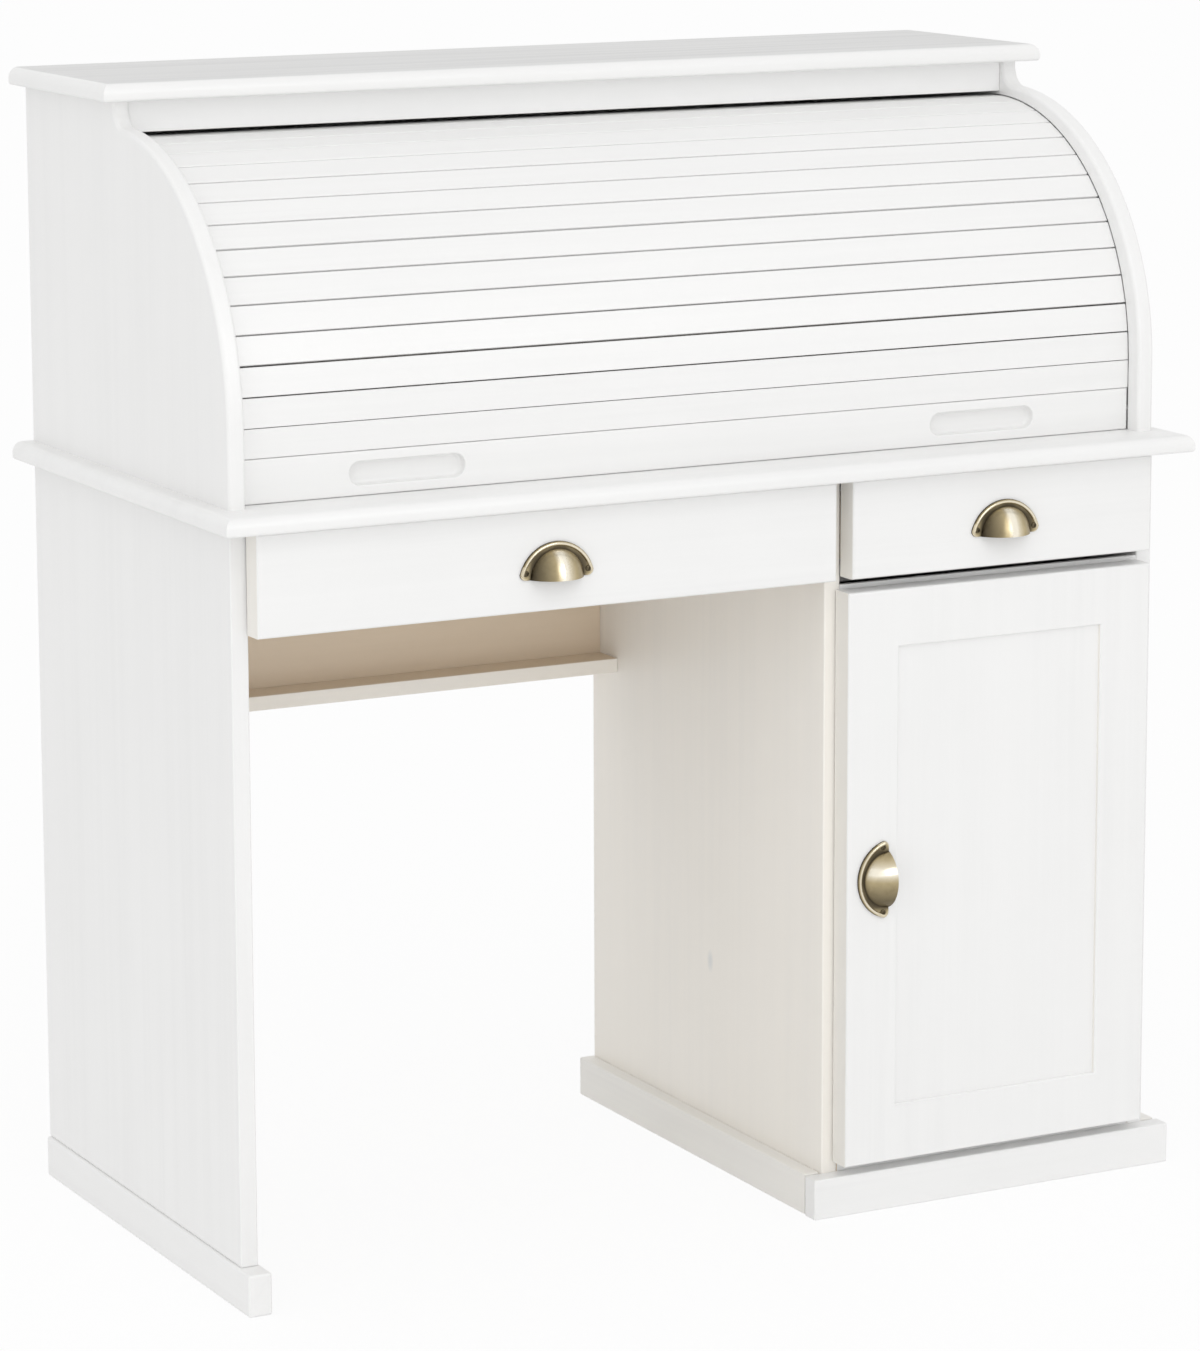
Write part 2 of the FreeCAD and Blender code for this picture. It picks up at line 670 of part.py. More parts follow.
def make_handle(prefix, carrier, corner, upright):
    """A cup handle: flange with raised rim and ears, half dome open below, two screws.

    The handle is drawn standing on its open edge. On the door it lies on its side, with the
    open edge towards the hinges.
    """
    body = new_body(prefix + "_handle")
    half = size("handle_width") / 2
    ear = size("handle_ear_radius")
    lift = size("handle_screw_lift")
    spread = size("handle_spacing") / 2
    cup = size("handle_cup_radius")
    crown = size("handle_height")
    rise = crown - ear
    radius = (half * half + rise * rise) / (2 * rise)
    centre = point(0, crown - radius)
    turn = math.asin((ear - centre.y) / radius)
    depth = size("handle_projection")
    wall = size("handle_wall")
    sphere = (cup * cup + depth * depth) / (2 * depth)
    sphere_centre = point(0, sphere - depth)
    inner_cup = math.sqrt((sphere - wall) ** 2 - sphere_centre.y ** 2)

    flange = plane_sketch(body, "XZ_Plane", "0")
    arc(flange, centre, radius, turn, math.pi - turn)
    arc(flange, point(0, 0), inner_cup, 0, math.pi)
    for side in (-1, 1):
        corner_arc = (math.pi, 3 * math.pi / 2) if side < 0 else (3 * math.pi / 2, 2 * math.pi)
        arc(flange, point(side * (half - ear), ear), ear, *corner_arc)
        line(flange, point(side * (half - ear), 0), point(side * inner_cup, 0))
        hole = Part.Circle(point(side * spread, lift), FreeCAD.Vector(0, 0, 1),
                           size("screw_hole_radius"))
        flange.addGeometry(hole, False)
    pad(body, flange, "handle_flange")

    rim = plane_sketch(body, "XZ_Plane", "0")
    inner = radius - size("handle_rim_width")
    inner_turn = math.asin((ear - centre.y) / inner)
    arc(rim, centre, radius, turn, math.pi - turn)
    arc(rim, centre, inner, inner_turn, math.pi - inner_turn)
    for side in (-1, 1):
        line(rim, point(side * half, ear), point(side * inner * math.cos(inner_turn), ear))
    pad(body, rim, "handle_rim_height")

    dome = plane_sketch(body, "XY_Plane", "0")
    for shell, mouth in ((sphere, cup), (sphere - wall, inner_cup)):
        apex = 3 * math.pi / 2
        sweep = math.acos(sphere_centre.y / shell)
        steps = [polar(sphere_centre, shell, apex + sweep * step / DOME_STEPS)
                 for step in range(DOME_STEPS)]
        polyline(dome, steps + [point(mouth, 0)])
    line(dome, point(inner_cup, 0), point(cup, 0))
    line(dome, point(0, wall - depth), point(0, -depth))
    turned = body.newObject("PartDesign::Revolution", "Dome")
    turned.Profile = dome
    turned.ReferenceAxis = (dome, ["V_Axis"])
    turned.Angle = 180
    turned.Reversed = True

    screws = new_body(prefix + "_handle_screws")
    for side in ("-", ""):
        seat = (side + "handle_spacing / 2", "-handle_flange", "handle_screw_lift")
        rod(screws, "screw_radius", "screw_length", seat, "Y")
        rod(screws, "screw_head_radius", "screw_head_height",
            (seat[0], "-handle_flange - screw_head_height", seat[2]), "Y")
    turn_about = FreeCAD.Rotation(FreeCAD.Vector(0, 1, 0), 0 if upright else -90)
    for piece in (body, screws):
        piece.Placement = FreeCAD.Placement(FreeCAD.Vector(), turn_about)
        put(piece, corner)

    bore_length = "screw_length - handle_flange + cut_overrun"
    for side in ("-", "+"):
        if upright:
            seat_x = "%s %s handle_spacing / 2" % (corner[0], side)
            seat_z = "%s + handle_screw_lift" % corner[2]
        else:
            seat_x = "%s - handle_screw_lift" % corner[0]
            seat_z = "%s %s handle_spacing / 2" % (corner[2], side)
        rod(carrier, "screw_hole_radius", bore_length,
            (seat_x, corner[1] + " - cut_overrun", seat_z), "Y", cut=True)


def make_door():
    """The framed door with its recessed panel, cup handle, hinge pins and hinge plates."""
    stiles = new_body("door_stiles")
    block(stiles, ("door_frame_width", "front_thickness", "door_height"),
          ("door_left", "front_face", "door_bottom"))
    block(stiles, ("door_frame_width", "front_thickness", "door_height"),
          ("door_right - door_frame_width", "front_face", "door_bottom"))
    ease(stiles, ("left front", "right front", "front top", "front bottom"), "front_arris")
    rail_width = "door_width - 2 * door_frame_width"
    rails = new_body("door_rails")
    for corner_z in ("door_bottom", "door_top - door_frame_width"):
        block(rails, (rail_width, "front_thickness", "door_frame_width"),
              ("door_left + door_frame_width", "front_face", corner_z))
    ease(rails, ("front top", "front bottom"), "front_arris")

    panel_size = (rail_width + " + 2 * door_panel_tongue", "door_panel_thickness",
                  "door_height - 2 * door_frame_width + 2 * door_panel_tongue")
    panel_corner = ("door_left + door_frame_width - door_panel_tongue",
                    "front_face + door_panel_recess",
                    "door_bottom + door_frame_width - door_panel_tongue")
    for frame in (stiles, rails):
        block(frame, panel_size, panel_corner, cut=True)
    board("door_panel", panel_size, panel_corner)

    base = "door_bottom + door_height / 2"
    middle = "door_left + door_frame_width / 2 + handle_height / 2"
    make_handle("door", stiles, (middle, "front_face", base), upright=False)

    plates = new_body("door_hinge_plates")
    pins = new_body("door_hinge_pins")
    for middle_z in ("door_bottom + hinge_end_distance", "door_top - hinge_end_distance"):
        low = "%s - hinge_height / 2" % middle_z
        block(stiles, ("hinge_notch_width + cut_overrun", "hinge_notch_depth + cut_overrun",
                       "hinge_height + 2 * hinge_notch_clearance"),
              ("door_right - hinge_notch_width", "front_back_face - hinge_notch_depth",
               low + " - hinge_notch_clearance"), cut=True)
        pin_low = "%s - hinge_notch_clearance - hinge_pin_seat" % low
        pin_length = "hinge_height + 2 * (hinge_notch_clearance + hinge_pin_seat)"
        rod(stiles, "hinge_pin_radius", pin_length, ("hinge_x", "hinge_y", pin_low), "Z",
            cut=True)
        rod(pins, "hinge_pin_radius", pin_length, ("hinge_x", "hinge_y", pin_low), "Z")
        rod(plates, "hinge_eye_radius", "hinge_height", ("hinge_x", "hinge_y", low), "Z")
        block(plates, ("inner_half - hinge_x", "hinge_plate_thickness", "hinge_height"),
              ("hinge_x", "hinge_y + hinge_eye_radius - hinge_plate_thickness", low))
        block(plates, ("hinge_plate_thickness",
                       "hinge_plate_length + panel_front - hinge_y - hinge_eye_radius"
                       " + hinge_plate_thickness", "hinge_height"),
              ("inner_half - hinge_plate_thickness",
               "hinge_y + hinge_eye_radius - hinge_plate_thickness", low))
        rod(plates, "hinge_pin_radius + hinge_clearance", "hinge_height + 2 * cut_overrun",
            ("hinge_x", "hinge_y", low + " - cut_overrun"), "Z", cut=True)


def check_and_write():
    """Checks every object of the document, then writes one file for each sub-part."""
    doc.recompute()
    for thing in doc.Objects:
        if "Invalid" in thing.State or "Error" in thing.State:
            raise RuntimeError("%s (%s): %s" % (thing.Label, thing.Name, thing.State))
    for node in nodes:
        if node.Shape.isNull() or not node.Shape.isValid():
            raise RuntimeError(node.Label + ": no valid shape")
    os.makedirs("parts", exist_ok=True)
    for node in nodes:
        node.Shape.exportStep(os.path.join("parts", node.Label + ".step"))
        print("%-26s %d solids %10.0f mm3" % (node.Label, len(node.Shape.Solids), node.Shape.Volume))


fill_sheets()
make_carcass()
make_tops()
make_hutch()
make_curtain()
make_drawer("centre_drawer", "-inner_half", "pedestal_outer",
            "-inner_half - centre_front_overlap", "pedestal_outer - centre_front_side_gap")
make_drawer("pedestal_drawer", "pedestal_inner", "inner_half",
            "pedestal_inner - pedestal_front_overlap", "inner_half - pedestal_front_side_gap")
make_door()
check_and_write()
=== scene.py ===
"""Roll top secretary desk in white lacquered pine: fine shapes, finishes, light and camera."""
import json
import logging
import math
from collections.abc import Callable
from dataclasses import dataclass
from enum import Enum, IntEnum

import bmesh
import bpy
from bmesh.types import BMEdge, BMesh, BMFace, BMVert
from mathutils import Matrix, Vector


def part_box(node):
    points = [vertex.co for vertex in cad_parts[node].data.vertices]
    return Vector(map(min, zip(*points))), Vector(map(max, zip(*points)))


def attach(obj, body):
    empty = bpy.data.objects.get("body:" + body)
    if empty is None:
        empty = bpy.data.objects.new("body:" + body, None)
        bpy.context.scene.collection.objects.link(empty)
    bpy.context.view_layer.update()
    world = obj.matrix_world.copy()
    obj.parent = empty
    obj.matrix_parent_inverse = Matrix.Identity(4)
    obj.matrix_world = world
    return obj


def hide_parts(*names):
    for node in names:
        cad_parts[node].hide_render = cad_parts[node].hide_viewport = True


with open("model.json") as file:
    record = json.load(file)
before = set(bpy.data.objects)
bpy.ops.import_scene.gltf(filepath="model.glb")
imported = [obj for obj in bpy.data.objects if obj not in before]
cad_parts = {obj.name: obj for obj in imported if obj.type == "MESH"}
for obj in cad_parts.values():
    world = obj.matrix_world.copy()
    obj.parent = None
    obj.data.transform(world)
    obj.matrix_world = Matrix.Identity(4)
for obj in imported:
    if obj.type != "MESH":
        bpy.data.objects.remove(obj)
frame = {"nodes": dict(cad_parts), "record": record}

LOG = logging.getLogger("desk")
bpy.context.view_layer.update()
IMAGE_HEIGHT = 1351
MM = 0.001
WELD = 0.002 * MM
TOUCH = 0.02 * MM
SMOOTH_ANGLE = math.radians(35)
SIDE_FACING = 0.95
QUARTER = math.pi / 2
X_AXIS = (1, 0, 0)
Y_AXIS = (0, 1, 0)
Z_AXIS = (0, 0, 1)
ORIGIN = (0.0, 0.0, 0.0)
UNIT = (1.0, 1.0, 1.0)
FULL = (0.0, 1.0)
FADING = (1.0, 0.0)
NOISE_SPAN = (0.3, 0.7)

Pair = tuple[float, float]
Triple = tuple[float, float, float]
Inputs = dict[str | int, object]
Socket = bpy.types.NodeSocket
Node = bpy.types.Node
Material = bpy.types.Material
Piece = bpy.types.Object


class Grain(Enum):
    """The axis that a board's fibres run along, as the turn that brings it to X."""

    ALONG_X = (0.0, 0.0, 0.0)
    ALONG_Y = (0.0, 0.0, -QUARTER)
    ALONG_Z = (0.0, QUARTER, 0.0)


class Side(Enum):
    """A side of a piece's box: the axis, and whether it is the high end."""

    LEFT = (0, False)
    RIGHT = (0, True)
    FRONT = (1, False)
    BACK = (1, True)
    BOTTOM = (2, False)
    TOP = (2, True)


class Steps(IntEnum):
    """How finely a rounding is divided."""

    CHAMFER = 1
    SLIGHT = 2
    EASED = 3
    SOFT = 4
    ROUND = 5
    FINE = 6
    NOSING = 10


class NodeSketch:
    """A shader node tree that is filled one node at a time."""

    def __init__(self, tree: bpy.types.NodeTree) -> None:
        """Keeps the tree of a material, a group or the world."""
        self.tree = tree

    def feed(self, node: Node, inputs: Inputs) -> None:
        """Sets a node's inputs.

        Args:
            node: The node to feed.
            inputs: For each input, a plain value or the socket that it is linked to.
        """
        for name, value in inputs.items():
            if isinstance(value, Socket):
                self.tree.links.new(value, node.inputs[name])
            else:
                node.inputs[name].default_value = value

    def add(self, kind: str, inputs: Inputs | None = None, **settings: object) -> Node:
        """Adds a node.

        Args:
            kind: The node's type without the leading ShaderNode.
            inputs: For each input, a plain value or the socket that it is linked to.
            settings: Property values by name.

        Returns:
            The new node.
        """
        node = self.tree.nodes.new("ShaderNode" + kind)
        for name, value in settings.items():
            setattr(node, name, value)
        self.feed(node, inputs or {})
        return node

    def group(self, tree: bpy.types.NodeTree, at: Socket) -> bpy.types.NodeOutputs:
        """Places a shared effect at a coordinate and gives its outputs."""
        return self.add("Group", {"Coordinate": at}, node_tree=tree).outputs

    def scaled(self, vector: Socket, scale: Triple, turn: Triple = ORIGIN) -> Socket:
        """Stretches a coordinate, and turns it by radians about the three axes."""
        return self.add("Mapping", {"Vector": vector, "Scale": scale, "Rotation": turn}).outputs["Vector"]

    def remap(self, value: Socket, span: Pair, to: Pair = FULL) -> Socket:
        """Maps a span of values to another, clamped."""
        inputs = {"Value": value, "From Min": span[0], "From Max": span[1], "To Min": to[0], "To Max": to[1]}
        return self.add("MapRange", inputs).outputs["Result"]

    def maths(self, operation: str, first: Socket, second: Socket | float) -> Socket:
        """Combines two values with a named operation."""
        return self.add("Math", {0: first, 1: second}, operation=operation).outputs[0]

    def mix(self, factor: Socket, first: Socket | Triple, second: Triple) -> Socket:
        """Mixes a colour with a plain colour by a factor."""
        base = first if isinstance(first, Socket) else (*first, 1.0)
        return self.add("Mix", {"Factor": factor, "A": base, "B": (*second, 1.0)},
                        data_type="RGBA").outputs["Result"]

    def bump(self, height: Socket, distance: float, strength: float) -> Socket:
        """Turns a height into a normal."""
        return self.add("Bump", {"Height": height, "Distance": distance,
                                 "Strength": strength}).outputs["Normal"]


@dataclass(frozen=True)
class NoiseLayer:
    """A layer of noise, with its density along and across fibres that run along X."""

    along: float
    across: float
    detail: float
    roughness: float = 0.5
    distortion: float = 0.0

    def value(self, sketch: NodeSketch, at: Socket) -> Socket:
        """Adds the layer to a tree.

        Args:
            sketch: The tree to add to.
            at: The coordinate.

        Returns:
            The layer's value.
        """
        stretched = sketch.scaled(at, (self.along, self.across, self.across))
        inputs = {"Vector": stretched, "Scale": 1.0, "Detail": self.detail, "Roughness": self.roughness,
                  "Distortion": self.distortion}
        return sketch.add("TexNoise", inputs).outputs["Fac"]


class ShaderGroups:
    """The effects that several finishes share, each built once as a node group."""

    GROWTH_DRIFT = NoiseLayer(1.6, 7.0, 2.0)
    GROWTH_BANDS = NoiseLayer(0.9, 46.0, 3.0, 0.55, 0.6)
    FINE_FIBRES = NoiseLayer(5.0, 260.0, 4.0, 0.6)
    PORES = NoiseLayer(26.0, 1500.0, 2.0)
    BRUSH_LINES = NoiseLayer(90.0, 5200.0, 3.0, 0.6)
    TARNISH = NoiseLayer(120.0, 120.0, 4.0, 0.6)
    CLOUDS = NoiseLayer(4.5, 4.5, 3.0, 0.55)
    DAPPLE = NoiseLayer(420.0, 420.0, 2.0)
    BAND_SHARE = 0.65
    FIBRE_SHARE = 0.35
    STREAK_SPAN = (0.42, 0.66)
    DRIFT_SPAN = (0.35, 0.65)
    DRIFT_RANGE = (0.35, 1.0)
    PORE_SPAN = (0.52, 0.72)
    KNOT_DENSITY = (2.4, 4.6, 4.6)
    KNOT_SPAN = (0.012, 0.032)
    TARNISH_SPAN = (0.45, 0.7)
    CLOUD_SPAN = (0.4, 0.68)

    def __init__(self) -> None:
        """Builds the groups."""
        self.pine = self.build_pine()
        self.brushing = self.build_brushing()
        self.mottle = self.build_mottle()

    @staticmethod
    def start(name: str, *outputs: str) -> tuple[NodeSketch, Socket, Node]:
        """Starts a group with one coordinate input.

        Args:
            name: The group's name.
            outputs: Names of the value outputs.

        Returns:
            The sketch, the coordinate's socket and the output node.
        """
        tree = bpy.data.node_groups.new(name, "ShaderNodeTree")
        tree.interface.new_socket("Coordinate", in_out="INPUT", socket_type="NodeSocketVector")
        for output in outputs:
            tree.interface.new_socket(output, in_out="OUTPUT", socket_type="NodeSocketFloat")
        entry = tree.nodes.new("NodeGroupInput")
        return NodeSketch(tree), entry.outputs["Coordinate"], tree.nodes.new("NodeGroupOutput")

    def build_pine(self) -> bpy.types.NodeTree:
        """Builds pine under lacquer: growth streaks, fine pores and scattered knots along X.

        Returns:
            The group.
        """
        sketch, at, leave = self.start("pine_under_lacquer", "Streak", "Pore", "Knot")
        bands = sketch.maths("MULTIPLY", self.GROWTH_BANDS.value(sketch, at), self.BAND_SHARE)
        fibres = sketch.maths("MULTIPLY", self.FINE_FIBRES.value(sketch, at), self.FIBRE_SHARE)
        streak = sketch.remap(sketch.maths("ADD", bands, fibres), self.STREAK_SPAN)
        drift = sketch.remap(self.GROWTH_DRIFT.value(sketch, at), self.DRIFT_SPAN, self.DRIFT_RANGE)
        cells = sketch.add("TexVoronoi", {"Vector": sketch.scaled(at, self.KNOT_DENSITY), "Scale": 1.0},
                           feature="F1")
        sketch.feed(leave, {
            "Streak": sketch.maths("MULTIPLY", streak, drift),
            "Pore": sketch.remap(self.PORES.value(sketch, at), self.PORE_SPAN),
            "Knot": sketch.remap(cells.outputs["Distance"], self.KNOT_SPAN, FADING),
        })
        return sketch.tree

    def build_brushing(self) -> bpy.types.NodeTree:
        """Builds fine brush lines that run along X, and clouds of tarnish.

        Returns:
            The group.
        """
        sketch, at, leave = self.start("brush_lines", "Lines", "Tarnish")
        tarnish = sketch.remap(self.TARNISH.value(sketch, at), self.TARNISH_SPAN)
        sketch.feed(leave, {"Lines": self.BRUSH_LINES.value(sketch, at), "Tarnish": tarnish})
        return sketch.tree

    def build_mottle(self) -> bpy.types.NodeTree:
        """Builds soft cloudy patches, and the fine dapple of sprayed lacquer.

        Returns:
            The group.
        """
        sketch, at, leave = self.start("lacquer_mottle", "Cloud", "Dapple")
        cloud = sketch.remap(self.CLOUDS.value(sketch, at), self.CLOUD_SPAN)
        sketch.feed(leave, {"Cloud": cloud, "Dapple": self.DAPPLE.value(sketch, at)})
        return sketch.tree


GROUPS = ShaderGroups()


def empty_material(name: str) -> tuple[Material, NodeSketch]:
    """Starts a material without nodes.

    Args:
        name: The material's name.

    Returns:
        The material and its sketch.
    """
    material = bpy.data.materials.new(name)
    material.use_nodes = True
    material.node_tree.nodes.clear()
    return material, NodeSketch(material.node_tree)


def start_material(name: str) -> tuple[Material, NodeSketch, Node, Socket]:
    """Starts a material with a Principled shader.

    Args:
        name: The material's name.

    Returns:
        The material, its sketch, the shader node and the piece's own coordinate.
    """
    material, sketch = empty_material(name)
    shader = sketch.add("BsdfPrincipled")
    sketch.add("OutputMaterial", {"Surface": shader.outputs["BSDF"]})
    return material, sketch, shader, sketch.add("TexCoord").outputs["Object"]


@dataclass(frozen=True)
class Lacquer:
    """White lacquer over pine, through which the grain shows a little."""

    name: str
    grain: Grain
    colour: Triple = (0.885, 0.883, 0.876)
    streak_colour: Triple = (0.72, 0.72, 0.715)
    knot_colour: Triple = (0.72, 0.69, 0.64)
    cloud_colour: Triple = (0.83, 0.828, 0.822)
    streak: float = 0.16
    knot: float = 0.12
    cloud: float = 0.22
    roughness: Pair = (0.36, 0.5)
    relief: float = 0.05 * MM
    relief_strength: float = 0.6
    dapple_relief: float = 0.4
    gloss: float = 0.5
    coat_share: float = 0.24
    coat_roughness: float = 0.3

    def material(self) -> Material:
        """Builds the finish.

        Returns:
            The material, with its grain along the board.
        """
        material, sketch, shader, at = start_material(self.name)
        pine = sketch.group(GROUPS.pine, sketch.scaled(at, UNIT, self.grain.value))
        mottle = sketch.group(GROUPS.mottle, at)
        colour = self.colour
        for mask, share, tint in ((mottle["Cloud"], self.cloud, self.cloud_colour),
                                  (pine["Streak"], self.streak, self.streak_colour),
                                  (pine["Knot"], self.knot, self.knot_colour)):
            colour = sketch.mix(sketch.maths("MULTIPLY", mask, share), colour, tint)
        dapple = sketch.maths("MULTIPLY", mottle["Dapple"], self.dapple_relief)
        height = sketch.maths("SUBTRACT", dapple, sketch.maths("ADD", pine["Pore"], pine["Streak"]))
        sketch.feed(shader, {
            "Base Color": colour,
            "Roughness": sketch.remap(mottle["Dapple"], NOISE_SPAN, self.roughness),
            "Normal": sketch.bump(height, self.relief, self.relief_strength),
            "Specular IOR Level": self.gloss,
            "Coat Weight": self.coat_share * self.gloss,
            "Coat Roughness": self.coat_roughness,
        })
        return material


@dataclass(frozen=True)
class Brass:
    """Brushed antique brass: patina in hollows, painted shade on flanks and edges, painted highlight where
    pale.
    """

    name: str
    brushing: Grain
    tangent_axis: str
    colour: Triple = (0.71, 0.585, 0.345)
    tarnish_colour: Triple = (0.40, 0.31, 0.16)
    # Dark colour for patina in the hollows and for painted shade on the handle's flanks and edges.
    patina_and_painted_shade_colour: Triple = (0.045, 0.036, 0.026)
    # Pale colour of a painted highlight, used where the patina value is below the next level.
    painted_highlight_colour: Triple = (0.93, 0.87, 0.73)
    painted_highlight_below: float = 0.32
    tarnish: float = 0.3
    roughness: Pair = (0.2, 0.3)
    patina_roughness: float = 0.25
    relief: float = 0.006 * MM
    relief_strength: float = 0.5
    stretch: float = 0.92
    stretch_turn: float = 0.25

    def material(self) -> Material:
        """Builds the finish.

        Returns:
            The material; its mesh attribute gives patina, painted shade, and a painted highlight where low.
        """
        material, sketch, shader, at = start_material(self.name)
        brush = sketch.group(GROUPS.brushing, sketch.scaled(at, UNIT, self.brushing.value))
        patina_and_painted_light = sketch.add("Attribute", attribute_name="patina_and_painted_light").outputs["Fac"]
        tarnish = sketch.maths("MULTIPLY", brush["Tarnish"], self.tarnish)
        # Painted highlight: the colour turns pale where the value is low.
        painted_highlight = sketch.remap(patina_and_painted_light, (0.0, self.painted_highlight_below), FADING)
        colour = sketch.mix(tarnish, self.colour, self.tarnish_colour)
        colour = sketch.mix(painted_highlight, colour, self.painted_highlight_colour)
        rough = sketch.remap(brush["Lines"], NOISE_SPAN, self.roughness)
        lie = sketch.add("Tangent", direction_type="RADIAL", axis=self.tangent_axis)
        sketch.feed(shader, {
            # Painted shade and real patina: the colour turns dark where the value is high.
            "Base Color": sketch.mix(patina_and_painted_light, colour, self.patina_and_painted_shade_colour),
            "Roughness": sketch.maths("ADD", rough, sketch.maths("MULTIPLY", patina_and_painted_light, self.patina_roughness)),
            "Normal": sketch.bump(brush["Lines"], self.relief, self.relief_strength),
            "Metallic": 1.0,
            "Anisotropic": self.stretch,
            "Anisotropic Rotation": self.stretch_turn,
            "Tangent": lie.outputs["Tangent"],
        })
        return material


@dataclass(frozen=True)
class Steel:
    """Zinc plated steel of the hinges."""

    name: str = "zinc_plated_steel"
    colour: Triple = (0.62, 0.63, 0.65)
    stain_colour: Triple = (0.42, 0.43, 0.46)
    roughness: Pair = (0.28, 0.42)

    def material(self) -> Material:
        """Builds the finish.

        Returns:
            The material.
        """
        material, sketch, shader, at = start_material(self.name)
        brush = sketch.group(GROUPS.brushing, sketch.scaled(at, UNIT, Grain.ALONG_Z.value))
        sketch.feed(shader, {
            "Base Color": sketch.mix(brush["Tarnish"], self.colour, self.stain_colour),
            "Roughness": sketch.remap(brush["Lines"], NOISE_SPAN, self.roughness),
            "Metallic": 1.0,
        })
        return material


@dataclass(frozen=True)
class Canvas:
    """Unbleached cotton canvas, plain weave."""

    name: str = "cotton_canvas"
    colour: Triple = (0.70, 0.655, 0.55)
    shade_colour: Triple = (0.52, 0.47, 0.37)
    shade_span: Pair = (0.0, 0.7)
    threads_per_metre: float = 900.0
    sway: float = 0.6
    relief: float = 0.15 * MM
    relief_strength: float = 0.6
    roughness: float = 0.9

    def material(self) -> Material:
        """Builds the finish.

        Returns:
            The material.
        """
        material, sketch, shader, at = start_material(self.name)
        thread = {"Vector": at, "Scale": self.threads_per_metre / math.tau, "Distortion": self.sway}
        warp, weft = (sketch.add("TexWave", thread, wave_type="BANDS", bands_direction=way).outputs["Fac"]
                      for way in ("X", "Z"))
        height = sketch.maths("MULTIPLY", warp, weft)
        shade = sketch.remap(height, self.shade_span, FADING)
        sketch.feed(shader, {
            "Base Color": sketch.mix(shade, self.colour, self.shade_colour),
            "Normal": sketch.bump(height, self.relief, self.relief_strength),
            "Roughness": self.roughness,
        })
        return material


class Finishes:
    """Every finish of the desk, made once, with the slot of the pieces that wear it."""

    LACQUERED = "lacquered_pine"
    PLAIN = "plain_pine"
    BRASS = "antique_brass"
    # Warm pine tone, partly the boards' own and partly darkened as painted shade inside the kneehole and
    # drawers.
    PINE_AND_SHADE = {"colour": (0.78, 0.65, 0.50), "streak_colour": (0.64, 0.50, 0.35),
            "cloud_colour": (0.72, 0.585, 0.435)}

    def __init__(self) -> None:
        """Builds the materials."""
        self.slots: dict[Material, str] = {}
        along, deep, up = Grain.ALONG_X, Grain.ALONG_Y, Grain.ALONG_Z
        self.level = self.lacquer("lacquer_level_grain", along)
        self.upright = self.lacquer("lacquer_upright_grain", up)
        self.deep = self.lacquer("lacquer_deep_grain", deep)
        # Top face: real grain, with its colour darkened as painted shade.
        self.top = self.lacquer("lacquer_top_grain_painted_shade", along, colour=(0.765, 0.763, 0.758), streak=0.9,
                                streak_colour=(0.64, 0.64, 0.635), knot=0.3, roughness=(0.5, 0.64),
                                gloss=0.15)
        # Fascia: made brighter as painted light against the shade under the top's overhang.
        self.fascia = self.lacquer("lacquer_fascia_painted_light", along, colour=(0.94, 0.94, 0.935), streak=0.08,
                                   cloud=0.08)
        # Pedestal's left panel: brighter and warmer as painted light, for the light bounced into the
        # kneehole.
        self.kneehole_panel_painted_light = self.lacquer("lacquer_upright_painted_light", up, colour=(0.955, 0.92, 0.86),
                                         cloud_colour=(0.90, 0.865, 0.795), knot_colour=(0.66, 0.69, 0.71),
                                         knot=0.5)
        # Back ledge front: brighter and warmer as painted light inside the kneehole.
        self.ledge = self.lacquer("ledge_lacquer_painted_light", along, colour=(0.95, 0.90, 0.82), knot=0.3)
        # Left-facing faces of door and drawer fronts: beige as painted shade and warm reflection.
        self.edge = self.lacquer("left_edge_painted_shade", up, colour=(0.88, 0.855, 0.80), knot=0.0)
        # Plinth sides: tinted warm as painted bounce light.
        self.flank = self.lacquer("flank_lacquer_painted_warm_light", deep, colour=(0.90, 0.88, 0.835), knot=0.2)
        # Inner boards: warm pine with painted shade.
        self.pine_and_shade_level = self.make(self.PLAIN, Lacquer("pine_painted_shade_level_grain", along, **self.PINE_AND_SHADE))
        self.pine_and_shade_deep = self.make(self.PLAIN, Lacquer("pine_painted_shade_deep_grain", deep, **self.PINE_AND_SHADE))
        self.board = self.make("white_hardboard", Lacquer("painted_hardboard", up, streak=0.02, knot=0.0,
                                                          roughness=(0.5, 0.62)))
        self.brass_level = self.make(self.BRASS, Brass("brass_brushed_level", along, "Z"))
        self.brass_upright = self.make(self.BRASS, Brass("brass_brushed_upright", up, "X"))
        self.steel = self.make("hinge_steel", Steel())
        self.canvas = self.make("canvas", Canvas())

    def make(self, slot: str, finish: Lacquer | Brass | Steel | Canvas) -> Material:
        """Builds a finish and notes its slot.

        Args:
            slot: The slot of the pieces that wear it.
            finish: The finish.

        Returns:
            The material.
        """
        material = finish.material()
        self.slots[material] = slot
        return material

    def lacquer(self, name: str, grain: Grain, **changes: float | Pair | Triple) -> Material:
        """Builds a white lacquer that differs from the usual one in some values."""
        return self.make(self.LACQUERED, Lacquer(name, grain, **changes))


FINISH = Finishes()
BODY_OF = {node: body for body, names in frame["record"]["behaviour"]["bodies"].items() for node in names}


def on_side(edge: BMEdge, side: Side, low: Vector, high: Vector) -> bool:
    """Says whether an edge lies on one side of a box.

    Args:
        edge: The edge to test.
        side: The side of the box.
        low: The box's lowest corner.
        high: The box's highest corner.

    Returns:
        True if both ends lie on that side.
    """
    axis, upper = side.value
    limit = high[axis] if upper else low[axis]
    return all(abs(vertex.co[axis] - limit) < TOUCH for vertex in edge.verts)


